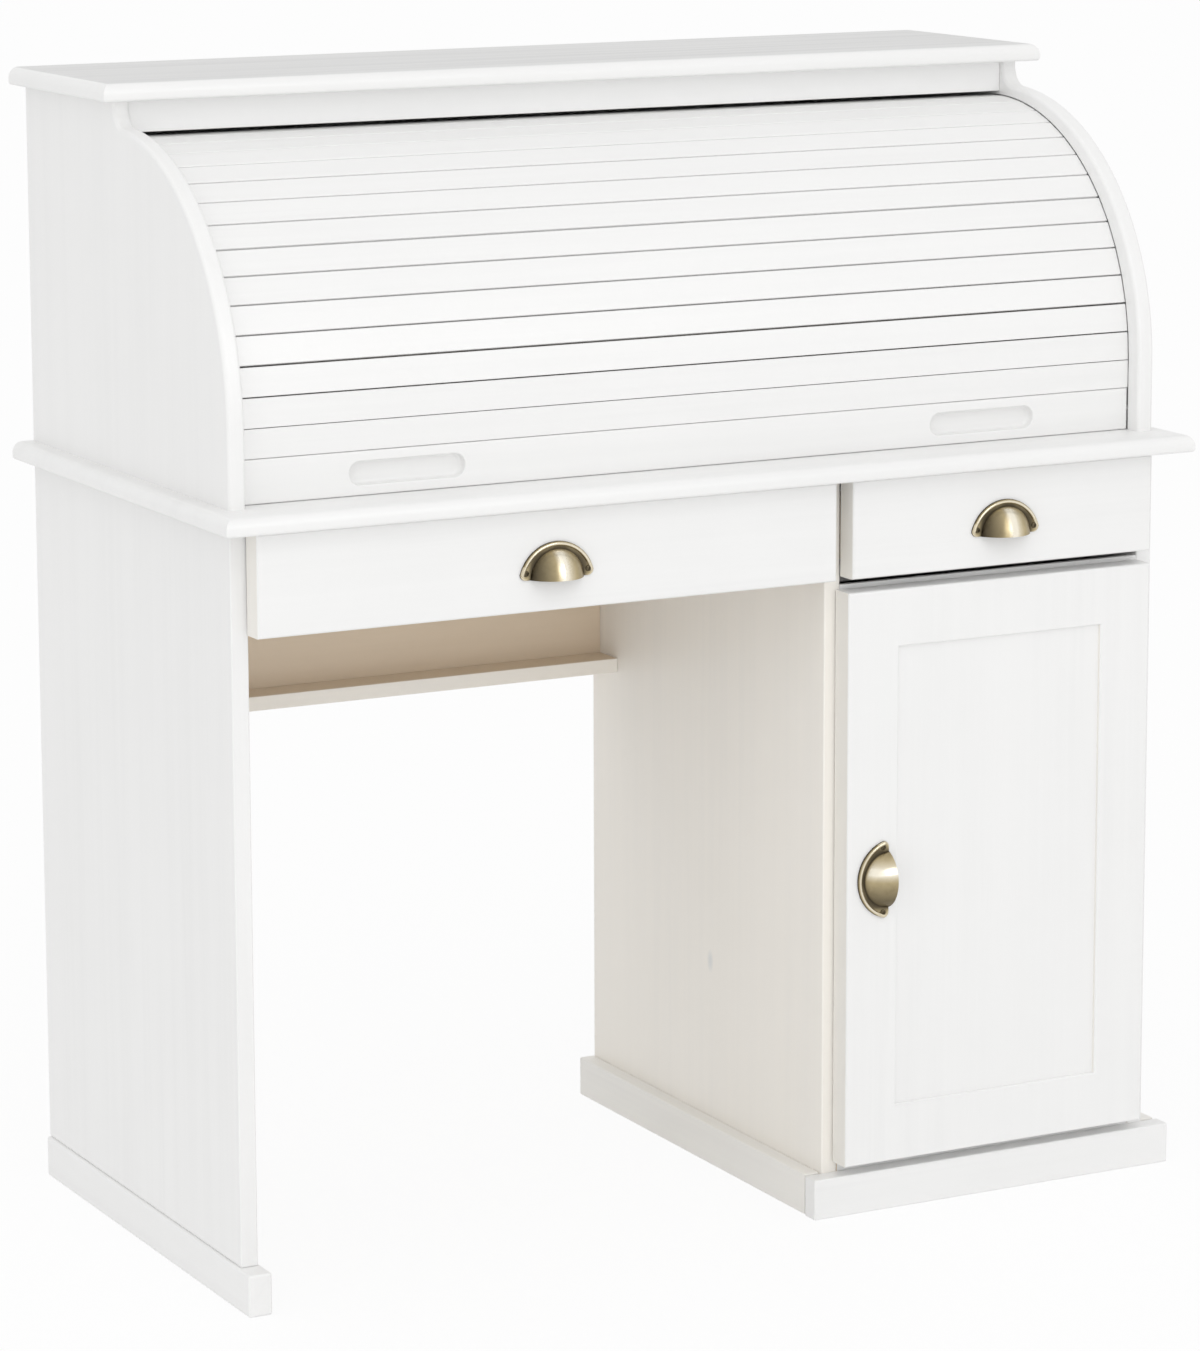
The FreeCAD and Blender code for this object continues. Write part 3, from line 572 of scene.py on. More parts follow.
def edges_on(mesh: BMesh, low: Vector, high: Vector, side: Side, *others: Side) -> list[BMEdge]:
    """Finds the edges on one side of a box, or those that it shares with some other sides.

    Args:
        mesh: The mesh to search.
        low: The box's lowest corner.
        high: The box's highest corner.
        side: The side.
        others: Sides of which an edge lies on at least one, or none for any edge of the side.

    Returns:
        The edges.
    """
    return [edge for edge in mesh.edges if on_side(edge, side, low, high)
            and (not others or any(on_side(edge, other, low, high) for other in others))]


def round_edges(mesh: BMesh, edges: list[BMEdge], radius: float, steps: Steps) -> None:
    """Rounds edges of a mesh."""
    bmesh.ops.bevel(mesh, geom=edges, offset=radius, offset_type="OFFSET", segments=steps, profile=0.5,
                    affect="EDGES", clamp_overlap=True, material=-1)


def edges_of(verts: list[BMVert]) -> list[BMEdge]:
    """The edges between some vertices."""
    inside = set(verts)
    return [edge for edge in dict.fromkeys(edge for vertex in verts for edge in vertex.link_edges)
            if all(end in inside for end in edge.verts)]


def verts_in(geometry: list[BMVert | BMEdge | BMFace]) -> list[BMVert]:
    """The vertices among the results of an operator."""
    return [item for item in geometry if isinstance(item, BMVert)]


def add_block(mesh: BMesh, low: Vector, high: Vector) -> list[BMVert]:
    """Adds a rectangular block to a mesh.

    Args:
        mesh: The mesh to add to.
        low: The block's lowest corner.
        high: The block's highest corner.

    Returns:
        The block's vertices.
    """
    made = bmesh.ops.create_cube(mesh, size=1.0)["verts"]
    bmesh.ops.scale(mesh, vec=high - low, verts=made)
    bmesh.ops.translate(mesh, vec=(low + high) / 2, verts=made)
    return made


def line_to(mesh: BMesh, tip: list[BMVert], point: Vector) -> list[BMVert]:
    """Draws an outline on from its tip in a straight line.

    Args:
        mesh: The mesh to draw in.
        tip: The last vertex, in a list.
        point: Where the line ends.

    Returns:
        The new tip.
    """
    tip = bmesh.ops.extrude_vert_indiv(mesh, verts=tip)["verts"]
    tip[0].co = point
    return tip


def arc_on(mesh: BMesh, tip: list[BMVert], centre: Triple | Vector, axis: Triple, angle: float,
           steps: int) -> list[BMVert]:
    """Draws an outline on from its tip in an arc and gives the new tip."""
    swept = bmesh.ops.spin(mesh, geom=tip, cent=centre, axis=axis, angle=angle, steps=steps)
    return verts_in(swept["geom_last"])


def grow(mesh: BMesh, faces: list[BMFace], shift: Vector) -> list[BMVert]:
    """Extrudes faces.

    Args:
        mesh: The mesh that they belong to.
        faces: The faces.
        shift: How far the new faces go.

    Returns:
        The vertices at the far end.
    """
    far = verts_in(bmesh.ops.extrude_face_region(mesh, geom=faces)["geom"])
    bmesh.ops.translate(mesh, vec=shift, verts=far)
    return far


def turn_about(mesh: BMesh, verts: list[BMVert], angle: float, axis: str) -> None:
    """Turns vertices about an axis through the origin."""
    bmesh.ops.rotate(mesh, cent=ORIGIN, matrix=Matrix.Rotation(angle, 3, axis), verts=verts)


def smooth(data: bpy.types.Mesh) -> None:
    """Shades a mesh smooth up to a set angle."""
    data.shade_smooth()
    data.set_sharp_from_angle(angle=SMOOTH_ANGLE)


def as_object(name: str, mesh: BMesh) -> Piece:
    """Turns a bmesh into an object at the origin.

    Args:
        name: The object's name.
        mesh: The bmesh, which is freed.

    Returns:
        The new object.
    """
    data = bpy.data.meshes.new(name)
    mesh.to_mesh(data)
    mesh.free()
    smooth(data)
    made = bpy.data.objects.new(name, data)
    bpy.context.scene.collection.objects.link(made)
    return made


def carve(piece: Piece, cutter: BMesh) -> None:
    """Cuts one closed form out of a piece.

    Args:
        piece: The object to cut.
        cutter: The form to take away, which is freed.
    """
    bmesh.ops.recalc_face_normals(cutter, faces=cutter.faces)
    tool = as_object("cutter", cutter)
    cut = piece.modifiers.new("cut", "BOOLEAN")
    cut.operation = "DIFFERENCE"
    cut.solver = "EXACT"
    cut.object = tool
    graph = bpy.context.evaluated_depsgraph_get()
    result = bpy.data.meshes.new_from_object(piece.evaluated_get(graph))
    piece.modifiers.clear()
    piece.data = result
    smooth(result)
    bpy.data.objects.remove(tool)


def paint_side(piece: Piece, side: Side, finish: Material) -> None:
    """Gives the faces that look to one side another finish.

    Args:
        piece: An object that has its first finish.
        side: The side that the faces look to.
        finish: Their finish.
    """
    axis, upper = side.value
    sign = 1 if upper else -1
    piece.data.materials.append(finish)
    for face in piece.data.polygons:
        if face.normal[axis] * sign > SIDE_FACING:
            face.material_index = 1


def dress(piece: Piece, finish: Material, body: str, *nodes: str,
          second: tuple[Side, Material] | None = None) -> None:
    """Gives a piece its finish and its body, and hides the solids it stands for.

    Args:
        piece: The finished object.
        finish: The material.
        body: The body it moves with.
        nodes: The nodes it replaces.
        second: A side whose faces have another finish, and that finish.
    """
    piece.data.materials.clear()
    piece.data.materials.append(finish)
    even = piece.modifiers.new("even_faces", "WEIGHTED_NORMAL")
    even.keep_sharp = True
    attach(piece, body)
    if nodes:
        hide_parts(*nodes)
    if second:
        paint_side(piece, *second)
    LOG.info("%s rides on %s", piece.name, body)


def mark_patina_and_painted_light(piece: Piece, patina_and_painted_light: Callable[[Vector], float]) -> None:
    """Writes how dark a brass piece is at each point: patina, painted shade or painted highlight.

    Args:
        piece: The object.
        patina_and_painted_light: Gives the value at a point.
    """
    layer = piece.data.attributes.new("patina_and_painted_light", "FLOAT", "POINT")
    for vertex, value in zip(piece.data.vertices, layer.data):
        value.value = patina_and_painted_light(vertex.co)


def repaint(node: str, finish: Material) -> None:
    """Gives a CAD node that keeps its shape a finish.

    Args:
        node: The node's name.
        finish: The material.
    """
    data = frame["nodes"][node].data
    data.materials.clear()
    data.materials.append(finish)
    LOG.info("%s keeps its shape", node)


def solid_boxes(node: str) -> list[tuple[Vector, Vector]]:
    """Finds the box of each separate solid of a node.

    Args:
        node: The node's name.

    Returns:
        The lowest and highest corner of each solid.
    """
    mesh = bmesh.new()
    mesh.from_mesh(frame["nodes"][node].data)
    bmesh.ops.remove_doubles(mesh, verts=mesh.verts, dist=WELD)
    boxes = []
    waiting = set(mesh.verts)
    while waiting:
        island = [waiting.pop()]
        for vertex in island:
            for edge in vertex.link_edges:
                other = edge.other_vert(vertex)
                if other in waiting:
                    waiting.remove(other)
                    island.append(other)
        points = [vertex.co for vertex in island]
        boxes.append((Vector(map(min, *points)), Vector(map(max, *points))))
    mesh.free()
    return sorted(boxes, key=lambda box: tuple(box[0]))


@dataclass
class PlainBoards:
    """The straight boards of one node, with eased edges."""

    node: str
    finish: Material
    arris: float = 0.9 * MM
    steps: Steps = Steps.EASED
    joint: Triple = ORIGIN
    strip: Triple = ORIGIN
    strip_thickness: float = 5 * MM
    second: tuple[Side, Material] | None = None
    most_rounding: float = 0.3

    def blocks(self) -> list[tuple[Vector, Vector]]:
        """Lists the boards, their lowest corner moved by the joint, and the strip in front of the first.

        Returns:
            The lowest and highest corner of each.
        """
        blocks = [(low + Vector(self.joint), high) for low, high in solid_boxes(self.node)]
        if any(self.strip):
            low, high = blocks[0]
            low = low + Vector(self.strip)
            blocks.append((low, Vector((high.x, low.y + self.strip_thickness, high.z + self.strip[2]))))
        return blocks

    def build(self) -> None:
        """Makes the boards as one piece."""
        mesh = bmesh.new()
        for low, high in self.blocks():
            made = add_block(mesh, low, high)
            radius = min(self.arris, self.most_rounding * min(high - low))
            round_edges(mesh, edges_of(made), radius, self.steps)
        dress(as_object(self.node + "_board", mesh), self.finish, BODY_OF[self.node], self.node,
              second=self.second)


@dataclass
class EasedBoard:
    """A board whose sides are each rounded in their own way."""

    node: str
    suffix: str
    rounds: tuple[tuple[Side, float, Steps], ...]
    second: tuple[Side, Material] | None = None

    def build(self) -> None:
        """Makes the board; an edge that is shared with the back is rounded with the back."""
        low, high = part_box(self.node)
        mesh = bmesh.new()
        add_block(mesh, low, high)
        for side, radius, steps in self.rounds:
            edges = [edge for edge in edges_on(mesh, low, high, side)
                     if side is Side.BACK or not on_side(edge, Side.BACK, low, high)]
            round_edges(mesh, edges, radius, steps)
        dress(as_object(self.node + self.suffix, mesh), FINISH.level, BODY_OF[self.node], self.node,
              second=self.second)


@dataclass
class CurtainPath:
    """The line that the curtain's back follows, in the plane of depth and height."""

    worktop: float
    front: float
    setback: float = 260 * MM
    straight: float = 68.5 * MM
    radius: float = 241 * MM
    back_radius: float = 203 * MM
    slat: float = 10 * MM

    @property
    def centre(self) -> Vector:
        """Centre of the front curve."""
        return Vector((0, self.front + self.setback, self.worktop + self.straight))

    @property
    def back_centre(self) -> Vector:
        """Centre of the back curve."""
        return self.centre + Vector((0, 0, self.radius - self.back_radius))

    def station(self, length: float) -> Vector:
        """Finds a point of the path.

        Args:
            length: The length along the path, from the worktop.

        Returns:
            The point.
        """
        front_radius = self.radius - self.slat
        if length < self.straight:
            return Vector((0, self.centre.y - front_radius, self.worktop + length))
        lean = (length - self.straight) / front_radius
        if lean < QUARTER:
            return self.centre + front_radius * Vector((0, -math.cos(lean), math.sin(lean)))
        back_radius = self.back_radius - self.slat
        past = (length - self.straight - front_radius * QUARTER) / back_radius
        return self.back_centre + back_radius * Vector((0, math.sin(past), math.cos(past)))

    def seat(self, start: float, end: float) -> Matrix:
        """Finds the place of a curtain piece that is drawn upright at the origin.

        Args:
            start: The length along the path at its foot.
            end: The length along the path at its top.

        Returns:
            The turn and shift.
        """
        low, high = self.station(start), self.station(end)
        lean = math.atan2(high.y - low.y, high.z - low.z)
        return Matrix.Translation(low) @ Matrix.Rotation(-lean, 4, "X")


@dataclass
class HutchSide:
    """One curved hutch side with its cove and the curtain groove."""

    node: str
    path: CurtainPath
    groove_on_right: bool
    curve_radius: float = 252 * MM
    curve_height: float = 68 * MM
    curve_steps: int = 56
    cove_radius: float = 20 * MM
    cove_steps: int = 14
    arris: float = 4 * MM
    groove_width: float = 11.2 * MM
    groove_depth: float = 8 * MM
    groove_tail: float = math.radians(27)
    groove_steps: int = 48
    overrun: float = 5 * MM

    def outline(self, mesh: BMesh, low: Vector, high: Vector) -> list[BMVert]:
        """Draws the outline on the left face.

        Args:
            mesh: The mesh to draw in.
            low: The side's lowest corner.
            high: The side's highest corner.

        Returns:
            The outline's vertices in order.
        """
        centre = Vector((low.x, low.y + self.curve_radius, low.z + self.curve_height))
        reach = self.curve_radius + self.cove_radius
        cove = Vector((low.x, centre.y - self.cove_radius,
                       centre.z + math.sqrt(reach ** 2 - self.cove_radius ** 2)))
        turn = QUARTER - math.asin(self.cove_radius / reach)
        start = mesh.verts.new(Vector(low))
        tip = line_to(mesh, [start], low + Vector((0, 0, self.curve_height)))
        tip = arc_on(mesh, tip, centre, X_AXIS, -turn, self.curve_steps)
        tip = arc_on(mesh, tip, cove, X_AXIS, turn, self.cove_steps)
        for depth, height in ((centre.y, high.z), (high.y, high.z), (high.y, low.z)):
            tip = line_to(mesh, tip, Vector((low.x, depth, height)))
        mesh.edges.new((tip[0], start))
        return list(mesh.verts)

    def groove(self, inner_x: float) -> BMesh:
        """Makes the form of the curtain groove.

        Args:
            inner_x: Where the inner face lies.

        Returns:
            The closed form to cut away.
        """
        mesh = bmesh.new()
        half = self.groove_width / 2
        middle = self.path.centre.y - self.path.radius + self.path.slat / 2
        outward = self.overrun if self.groove_on_right else -self.overrun
        inward = -self.groove_depth if self.groove_on_right else self.groove_depth
        ends = [mesh.verts.new(Vector((inner_x + outward, middle + offset, self.path.worktop - self.overrun)))
                for offset in (-half, half)]
        grown = bmesh.ops.extrude_edge_only(mesh, edges=[mesh.edges.new(ends)])["geom"]
        rise = Vector((0, 0, self.path.straight + self.overrun))
        bmesh.ops.translate(mesh, vec=rise, verts=verts_in(grown))
        tip = [item for item in grown if isinstance(item, BMEdge)]
        tail = QUARTER + self.groove_tail
        for centre, turn in ((self.path.centre, -QUARTER), (self.path.back_centre, -tail)):
            swept = bmesh.ops.spin(mesh, geom=tip, cent=Vector((inner_x, centre.y, centre.z)), axis=X_AXIS,
                                   angle=turn, steps=self.groove_steps)
            tip = [item for item in swept["geom_last"] if isinstance(item, (BMVert, BMEdge))]
        bmesh.ops.remove_doubles(mesh, verts=mesh.verts, dist=WELD)
        grow(mesh, list(mesh.faces), Vector((inward - outward, 0, 0)))
        return mesh

    def build(self) -> None:
        """Makes the side."""
        low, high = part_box(self.node)
        mesh = bmesh.new()
        loop = self.outline(mesh, low, high)
        face = bmesh.ops.contextual_create(mesh, geom=edges_of(loop))["faces"]
        grow(mesh, face, Vector((high.x - low.x, 0, 0)))
        bmesh.ops.recalc_face_normals(mesh, faces=mesh.faces)
        crown = low.y + self.curve_radius + TOUCH
        front = [edge for side in (Side.LEFT, Side.RIGHT) for edge in edges_on(mesh, low, high, side)
                 if not on_side(edge, Side.BOTTOM, low, high) and not on_side(edge, Side.TOP, low, high)
                 and all(vertex.co.y < crown for vertex in edge.verts)]
        round_edges(mesh, front, self.arris, Steps.ROUND)
        piece = as_object(self.node + "_curved", mesh)
        carve(piece, self.groove(high.x if self.groove_on_right else low.x))
        dress(piece, FINISH.upright, BODY_OF[self.node], self.node)


@dataclass
class Slat:
    """One tambour slat with its end tongues and the canvas behind it."""

    number: int
    path: CurtainPath
    start: float
    gap_below: float
    gap_above: float
    arris: float
    pitch: float = 26.8 * MM
    thickness: float = 10 * MM
    end_gap: float = 0.5 * MM
    tongue_width: float = 18 * MM
    tongue_thickness: float = 4.4 * MM
    tongue_reach: float = 8.1 * MM
    tongue_arris: float = 0.6 * MM
    inner_half: float = 473 * MM
    canvas_inset: float = 60 * MM
    canvas_thickness: float = 0.5 * MM
    canvas_trim: float = 0.2 * MM
    canvas_arris: float = 0.15 * MM

    def build(self) -> None:
        """Makes the slat and its canvas strip."""
        node = "tambour_slat_%02d" % self.number
        half = self.inner_half - self.end_gap
        mesh = bmesh.new()
        low = Vector((-half, -self.thickness, self.gap_below / 2))
        high = Vector((half, 0, self.pitch - self.gap_above / 2))
        add_block(mesh, low, high)
        front = edges_on(mesh, low, high, Side.FRONT, Side.TOP, Side.BOTTOM)
        round_edges(mesh, front, self.arris, Steps.SOFT)
        self.add_tongues(mesh, half)
        seat = self.path.seat(self.start, self.start + self.pitch)
        bmesh.ops.transform(mesh, matrix=seat, verts=mesh.verts)
        dress(as_object(node + "_wood", mesh), FINISH.level, node, node)
        self.build_canvas(node, half - self.canvas_inset, seat)

    def add_tongues(self, mesh: BMesh, half: float) -> None:
        """Adds the tongue at both ends.

        Args:
            mesh: The slat's mesh.
            half: Half the slat's length.
        """
        size = Vector((self.tongue_reach, self.tongue_thickness, self.tongue_width)) / 2
        for end in (-1, 1):
            middle = Vector((end * (half + self.tongue_reach / 2), -self.thickness / 2, self.pitch / 2))
            made = add_block(mesh, middle - size, middle + size)
            round_edges(mesh, edges_of(made), self.tongue_arris, Steps.SLIGHT)

    def build_canvas(self, node: str, half: float, seat: Matrix) -> None:
        """Makes the strip of canvas that is glued behind the slat.

        Args:
            node: The slat's node.
            half: Half the strip's length.
            seat: The slat's place.
        """
        mesh = bmesh.new()
        made = add_block(mesh, Vector((-half, 0, self.canvas_trim)),
                         Vector((half, self.canvas_thickness, self.pitch - self.canvas_trim)))
        round_edges(mesh, edges_of(made), self.canvas_arris, Steps.CHAMFER)
        bmesh.ops.transform(mesh, matrix=seat, verts=mesh.verts)
        dress(as_object("canvas_strip_%02d" % self.number, mesh), FINISH.canvas, node)


@dataclass
class LiftRail:
    """The curtain's bottom rail with two finger recesses."""

    path: CurtainPath
    height: float = 41.4 * MM
    thickness: float = 18 * MM
    slat: float = 10 * MM
    foot_gap: float = 0.3 * MM
    top_gap: float = 0.4 * MM
    chamfer: float = 8 * MM
    arris: float = 1.8 * MM
    half: float = 472.5 * MM
    pin_radius: float = 2.5 * MM
    pin_reach: float = 8.1 * MM
    recess_length: float = 116 * MM
    recess_width: float = 22 * MM
    recess_depth: float = 9 * MM
    recess_spacing: float = 611 * MM
    recess_floor_radius: float = 3.5 * MM
    recess_lip: float = 1.1 * MM
    recess_sides: int = 48
    pin_sides: int = 24

    def recess(self, middle: float) -> BMesh:
        """Makes the form of one finger recess.

        Args:
            middle: Where its middle lies across the desk.

        Returns:
            The closed form to cut away.
        """
        mesh = bmesh.new()
        radius = self.recess_width / 2
        reach = self.recess_length / 2 - radius
        disc = bmesh.ops.create_circle(mesh, cap_ends=True, segments=self.recess_sides,
                                       radius=radius)["verts"]
        for vertex in disc:
            vertex.co.x += math.copysign(reach, vertex.co.x) if abs(vertex.co.x) > TOUCH else 0.0
        bmesh.ops.dissolve_verts(mesh, verts=[vertex for vertex in disc if abs(vertex.co.x) < TOUCH])
        floor = grow(mesh, list(mesh.faces), Vector((0, 0, -2 * self.recess_depth)))
        round_edges(mesh, edges_of(floor), self.recess_floor_radius, Steps.ROUND)
        turn_about(mesh, mesh.verts, QUARTER, "X")
        bmesh.ops.translate(mesh, vec=Vector((middle, -self.slat - self.recess_depth, self.height / 2)),
                            verts=mesh.verts)
        return mesh

    def build(self) -> None:
        """Makes the rail."""
        mesh = bmesh.new()
        low = Vector((-self.half, -self.slat, self.foot_gap))
        high = Vector((self.half, self.thickness - self.slat, self.height - self.top_gap))
        add_block(mesh, low, high)
        round_edges(mesh, edges_on(mesh, low, high, Side.BACK, Side.TOP), self.chamfer, Steps.CHAMFER)
        round_edges(mesh, edges_on(mesh, low, high, Side.FRONT), self.arris, Steps.SOFT)
        piece = as_object("lift_rail_wood", mesh)
        for end in (-1, 1):
            carve(piece, self.recess(end * self.recess_spacing / 2))
        mesh = bmesh.new()
        mesh.from_mesh(piece.data)
        self.soften_lips(mesh)
        for end in (-1, 1):
            self.add_pin(mesh, end)
        bmesh.ops.transform(mesh, matrix=self.path.seat(0, self.height), verts=mesh.verts)
        bpy.data.objects.remove(piece)
        dress(as_object("lift_rail_wood", mesh), FINISH.level, "lift_rail", "lift_rail")

    def by_recess(self, at: Vector) -> bool:
        """Says whether a point of the front face is on the lip of a recess.

        Args:
            at: The point, on the rail as drawn at the origin.

        Returns:
            True if it is.
        """
        aside = abs(abs(at.x) - self.recess_spacing / 2)
        return (abs(at.y + self.slat) < TOUCH and aside < self.recess_length / 2 + TOUCH
                and abs(at.z - self.height / 2) < self.recess_width / 2 + TOUCH)

    def soften_lips(self, mesh: BMesh) -> None:
        """Rounds the lips of the finger recesses."""
        lips = [edge for edge in mesh.edges if all(self.by_recess(vertex.co) for vertex in edge.verts)
                and edge.calc_face_angle(0.0) > SMOOTH_ANGLE]
        round_edges(mesh, lips, self.recess_lip, Steps.EASED)

    def add_pin(self, mesh: BMesh, end: int) -> None:
        """Adds the guide pin at one end.

        Args:
            mesh: The rail's mesh.
            end: -1 for the left end, 1 for the right.
        """
        turn = Matrix.Rotation(QUARTER, 4, "Y")
        place = Matrix.Translation((end * (self.half + self.pin_reach / 2), -self.slat / 2, self.height / 2))
        bmesh.ops.create_cone(mesh, cap_ends=True, segments=self.pin_sides, radius1=self.pin_radius,
                              radius2=self.pin_radius, depth=self.pin_reach, matrix=place @ turn)


@dataclass
class DoorFrame:
    """The door's frame in one lacquered face, with the hinge notches behind."""

    frame_width: float = 56 * MM
    outer_arris: float = 2.5 * MM
    inner_arris: float = 2.4 * MM
    notch_width: float = 13 * MM
    notch_depth: float = 15 * MM
    notch_height: float = 31 * MM
    hinge_end_distance: float = 70 * MM
    overrun: float = 5 * MM

    def open_panel(self, mesh: BMesh) -> None:
        """Cuts the opening for the panel through the door.

        Args:
            mesh: The door as a plain block.
        """
        holes = []
        for way in (-1, 1):
            face = [face for face in mesh.faces if face.normal.y * way > SIDE_FACING]
            bmesh.ops.inset_region(mesh, faces=face, thickness=self.frame_width, use_even_offset=True)
            holes += face
        bmesh.ops.bridge_loops(mesh, edges=[edge for face in holes for edge in face.edges])
        bmesh.ops.delete(mesh, geom=holes, context="FACES_ONLY")
        bmesh.ops.recalc_face_normals(mesh, faces=mesh.faces)

    def build(self) -> None:
        """Makes the frame."""
        low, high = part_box("door_stiles")
        mesh = bmesh.new()
        add_block(mesh, low, high)
        self.open_panel(mesh)
        inset = Vector((self.frame_width, 0, self.frame_width))
        around = (Side.LEFT, Side.RIGHT, Side.TOP, Side.BOTTOM)
        outer = edges_on(mesh, low, high, Side.FRONT, *around)
        round_edges(mesh, outer, self.outer_arris, Steps.ROUND)
        inner = edges_on(mesh, low + inset, high - inset, Side.FRONT, *around)
        round_edges(mesh, inner, self.inner_arris, Steps.FINE)
        piece = as_object("door_frame", mesh)
        for middle in (low.z + self.hinge_end_distance, high.z - self.hinge_end_distance):
            cutter = bmesh.new()
            rise = self.notch_height / 2
            add_block(cutter, Vector((high.x - self.notch_width, high.y - self.notch_depth, middle - rise)),
                      Vector((high.x + self.overrun, high.y + self.overrun, middle + rise)))
            carve(piece, cutter)
        # The frame's left-facing faces get the beige painted shade.
        dress(piece, FINISH.upright, "door", "door_stiles", "door_rails",
              second=(Side.LEFT, FINISH.edge))


@dataclass
class CupHandle:
    """A cup handle with a beaded rim and two screw ears, drawn standing on its open edge."""

    body: str
    finish: Material
    # Where the painted highlight band sits across the cup, and the painted shade on its left and right flank.
    upright: bool = True
    painted_highlight_at: float = 0.0
    painted_flank_shade: Pair = (0.97, 0.6)
    width: float = 75 * MM
    height: float = 34 * MM
    projection: float = 20 * MM
    spacing: float = 64 * MM
    screw_lift: float = 6.5 * MM
    ear_radius: float = 5.5 * MM
    plate: float = 2 * MM
    plate_arris: float = 0.7 * MM
    arc_steps: int = 48
    ear_steps: int = 10
    mouth_steps: int = 40
    bead_width: float = 4.2 * MM
    bead_height: float = 3.6 * MM
    bead_taper: float = 0.45
    bead_drop: float = 1.6 * MM
    bead_sides: int = 20
    bead_steps: int = 56
    cup_radius: float = 28 * MM
    wall: float = 1.6 * MM
    dome_rings: int = 18
    dome_steps: int = 48
    groove_reach: float = 2.2 * MM
    # Half width of the painted highlight band.
    painted_highlight_half_width: float = 3 * MM
    flank_curve: float = 0.65
    hollow_patina: float = 0.95
    # Painted highlight on the bead's crest and painted shade at the plate's base edges.
    rim_painted_highlight: float = 0.05
    edge_painted_shade: float = 0.95
    edge_reach: float = 1.4 * MM
    ear_patina: float = 0.15
    screw_patina: float = 0.85
    head_radius: float = 3.0 * MM
    head_height: float = 1.5 * MM
    head_curve: tuple[Pair, ...] = ((0.0, 1.0), (0.55, 0.92), (0.9, 0.55), (1.0, 0.0))
    shaft_radius: float = 1.6 * MM
    shaft_length: float = 12 * MM
    slot_width: float = 0.9 * MM
    slot_length: float = 3.4 * MM
    slot_depth: float = 0.9 * MM
    slot_turn: float = 0.4
    screw_steps: int = 28

    @property
    def arc_radius(self) -> float:
        """Radius of the plate's outer arc."""
        rise = self.height - self.ear_radius
        return ((self.width / 2) ** 2 + rise ** 2) / (2 * rise)

    @property
    def arc_centre(self) -> Vector:
        """Centre of the plate's outer arc."""
        return Vector((0, 0, self.height - self.arc_radius))

    @property
    def arc_turn(self) -> float:
        """Angle above level at which the outer arc meets an ear."""
        return math.asin((self.ear_radius - self.arc_centre.z) / self.arc_radius)

    def build_plate(self) -> BMesh:
        """Makes the crescent plate with its ears.

        Returns:
            The plate's mesh.
        """
        mesh = bmesh.new()
        half, ear = self.width / 2, self.ear_radius
        tip = [mesh.verts.new(Vector((half, 0, ear)))]
        tip = arc_on(mesh, tip, self.arc_centre, Y_AXIS, 2 * self.arc_turn - math.pi, self.arc_steps)
        tip = arc_on(mesh, tip, Vector((ear - half, 0, ear)), Y_AXIS, -QUARTER, self.ear_steps)
        tip = line_to(mesh, tip, Vector((self.wall - self.cup_radius, 0, 0)))
        tip = arc_on(mesh, tip, ORIGIN, Y_AXIS, math.pi, self.mouth_steps)
        tip = line_to(mesh, tip, Vector((half - ear, 0, 0)))
        arc_on(mesh, tip, Vector((half - ear, 0, ear)), Y_AXIS, -QUARTER, self.ear_steps)
        bmesh.ops.remove_doubles(mesh, verts=mesh.verts, dist=TOUCH)
        face = bmesh.ops.contextual_create(mesh, geom=list(mesh.edges))["faces"]
        raised = grow(mesh, face, Vector((0, -self.plate, 0)))
        bmesh.ops.recalc_face_normals(mesh, faces=mesh.faces)
        rim = [edge for edge in edges_of(raised) if edge.calc_face_angle(0.0) > SMOOTH_ANGLE]
        round_edges(mesh, rim, self.plate_arris, Steps.EASED)
        return mesh

    def add_bead(self, mesh: BMesh) -> None:
        """Adds the rounded bead along the outer arc, tapering into the ears.

        Args:
            mesh: The handle's mesh.
        """
        centre, turn = self.arc_centre, self.arc_turn
        radius = self.arc_radius - self.bead_width / 2
        made = bmesh.ops.create_circle(mesh, cap_ends=False, segments=self.bead_sides, radius=1.0)["verts"]
        ring = edges_of(made)
        turn_about(mesh, made, math.pi, "X")
        size = Vector((self.bead_width / 2, self.bead_height - self.plate / 2, 1.0))
        bmesh.ops.scale(mesh, vec=size, verts=made)
        turn_about(mesh, made, -turn, "Y")
        start = centre + Vector((radius * math.cos(turn), -self.plate / 2, radius * math.sin(turn)))
        bmesh.ops.translate(mesh, vec=start, verts=made)
        swept = bmesh.ops.spin(mesh, geom=ring, cent=centre, axis=Y_AXIS, angle=2 * turn - math.pi,
                               steps=self.bead_steps)
        for loop in (ring, [item for item in swept["geom_last"] if isinstance(item, BMEdge)]):
            verts = list(dict.fromkeys(vertex for edge in loop for vertex in edge.verts))
            middle = sum((vertex.co for vertex in verts), Vector()) / len(verts)
            cap = bmesh.ops.contextual_create(mesh, geom=loop)["faces"]
            tip = verts_in(bmesh.ops.extrude_face_region(mesh, geom=cap)["geom"])
            bmesh.ops.delete(mesh, geom=cap, context="FACES_ONLY")
            bmesh.ops.scale(mesh, vec=Vector(UNIT) * self.bead_taper, space=Matrix.Translation(-middle),
                            verts=tip)
            bmesh.ops.translate(mesh, vec=Vector((0, 0, -self.bead_drop)), verts=tip)

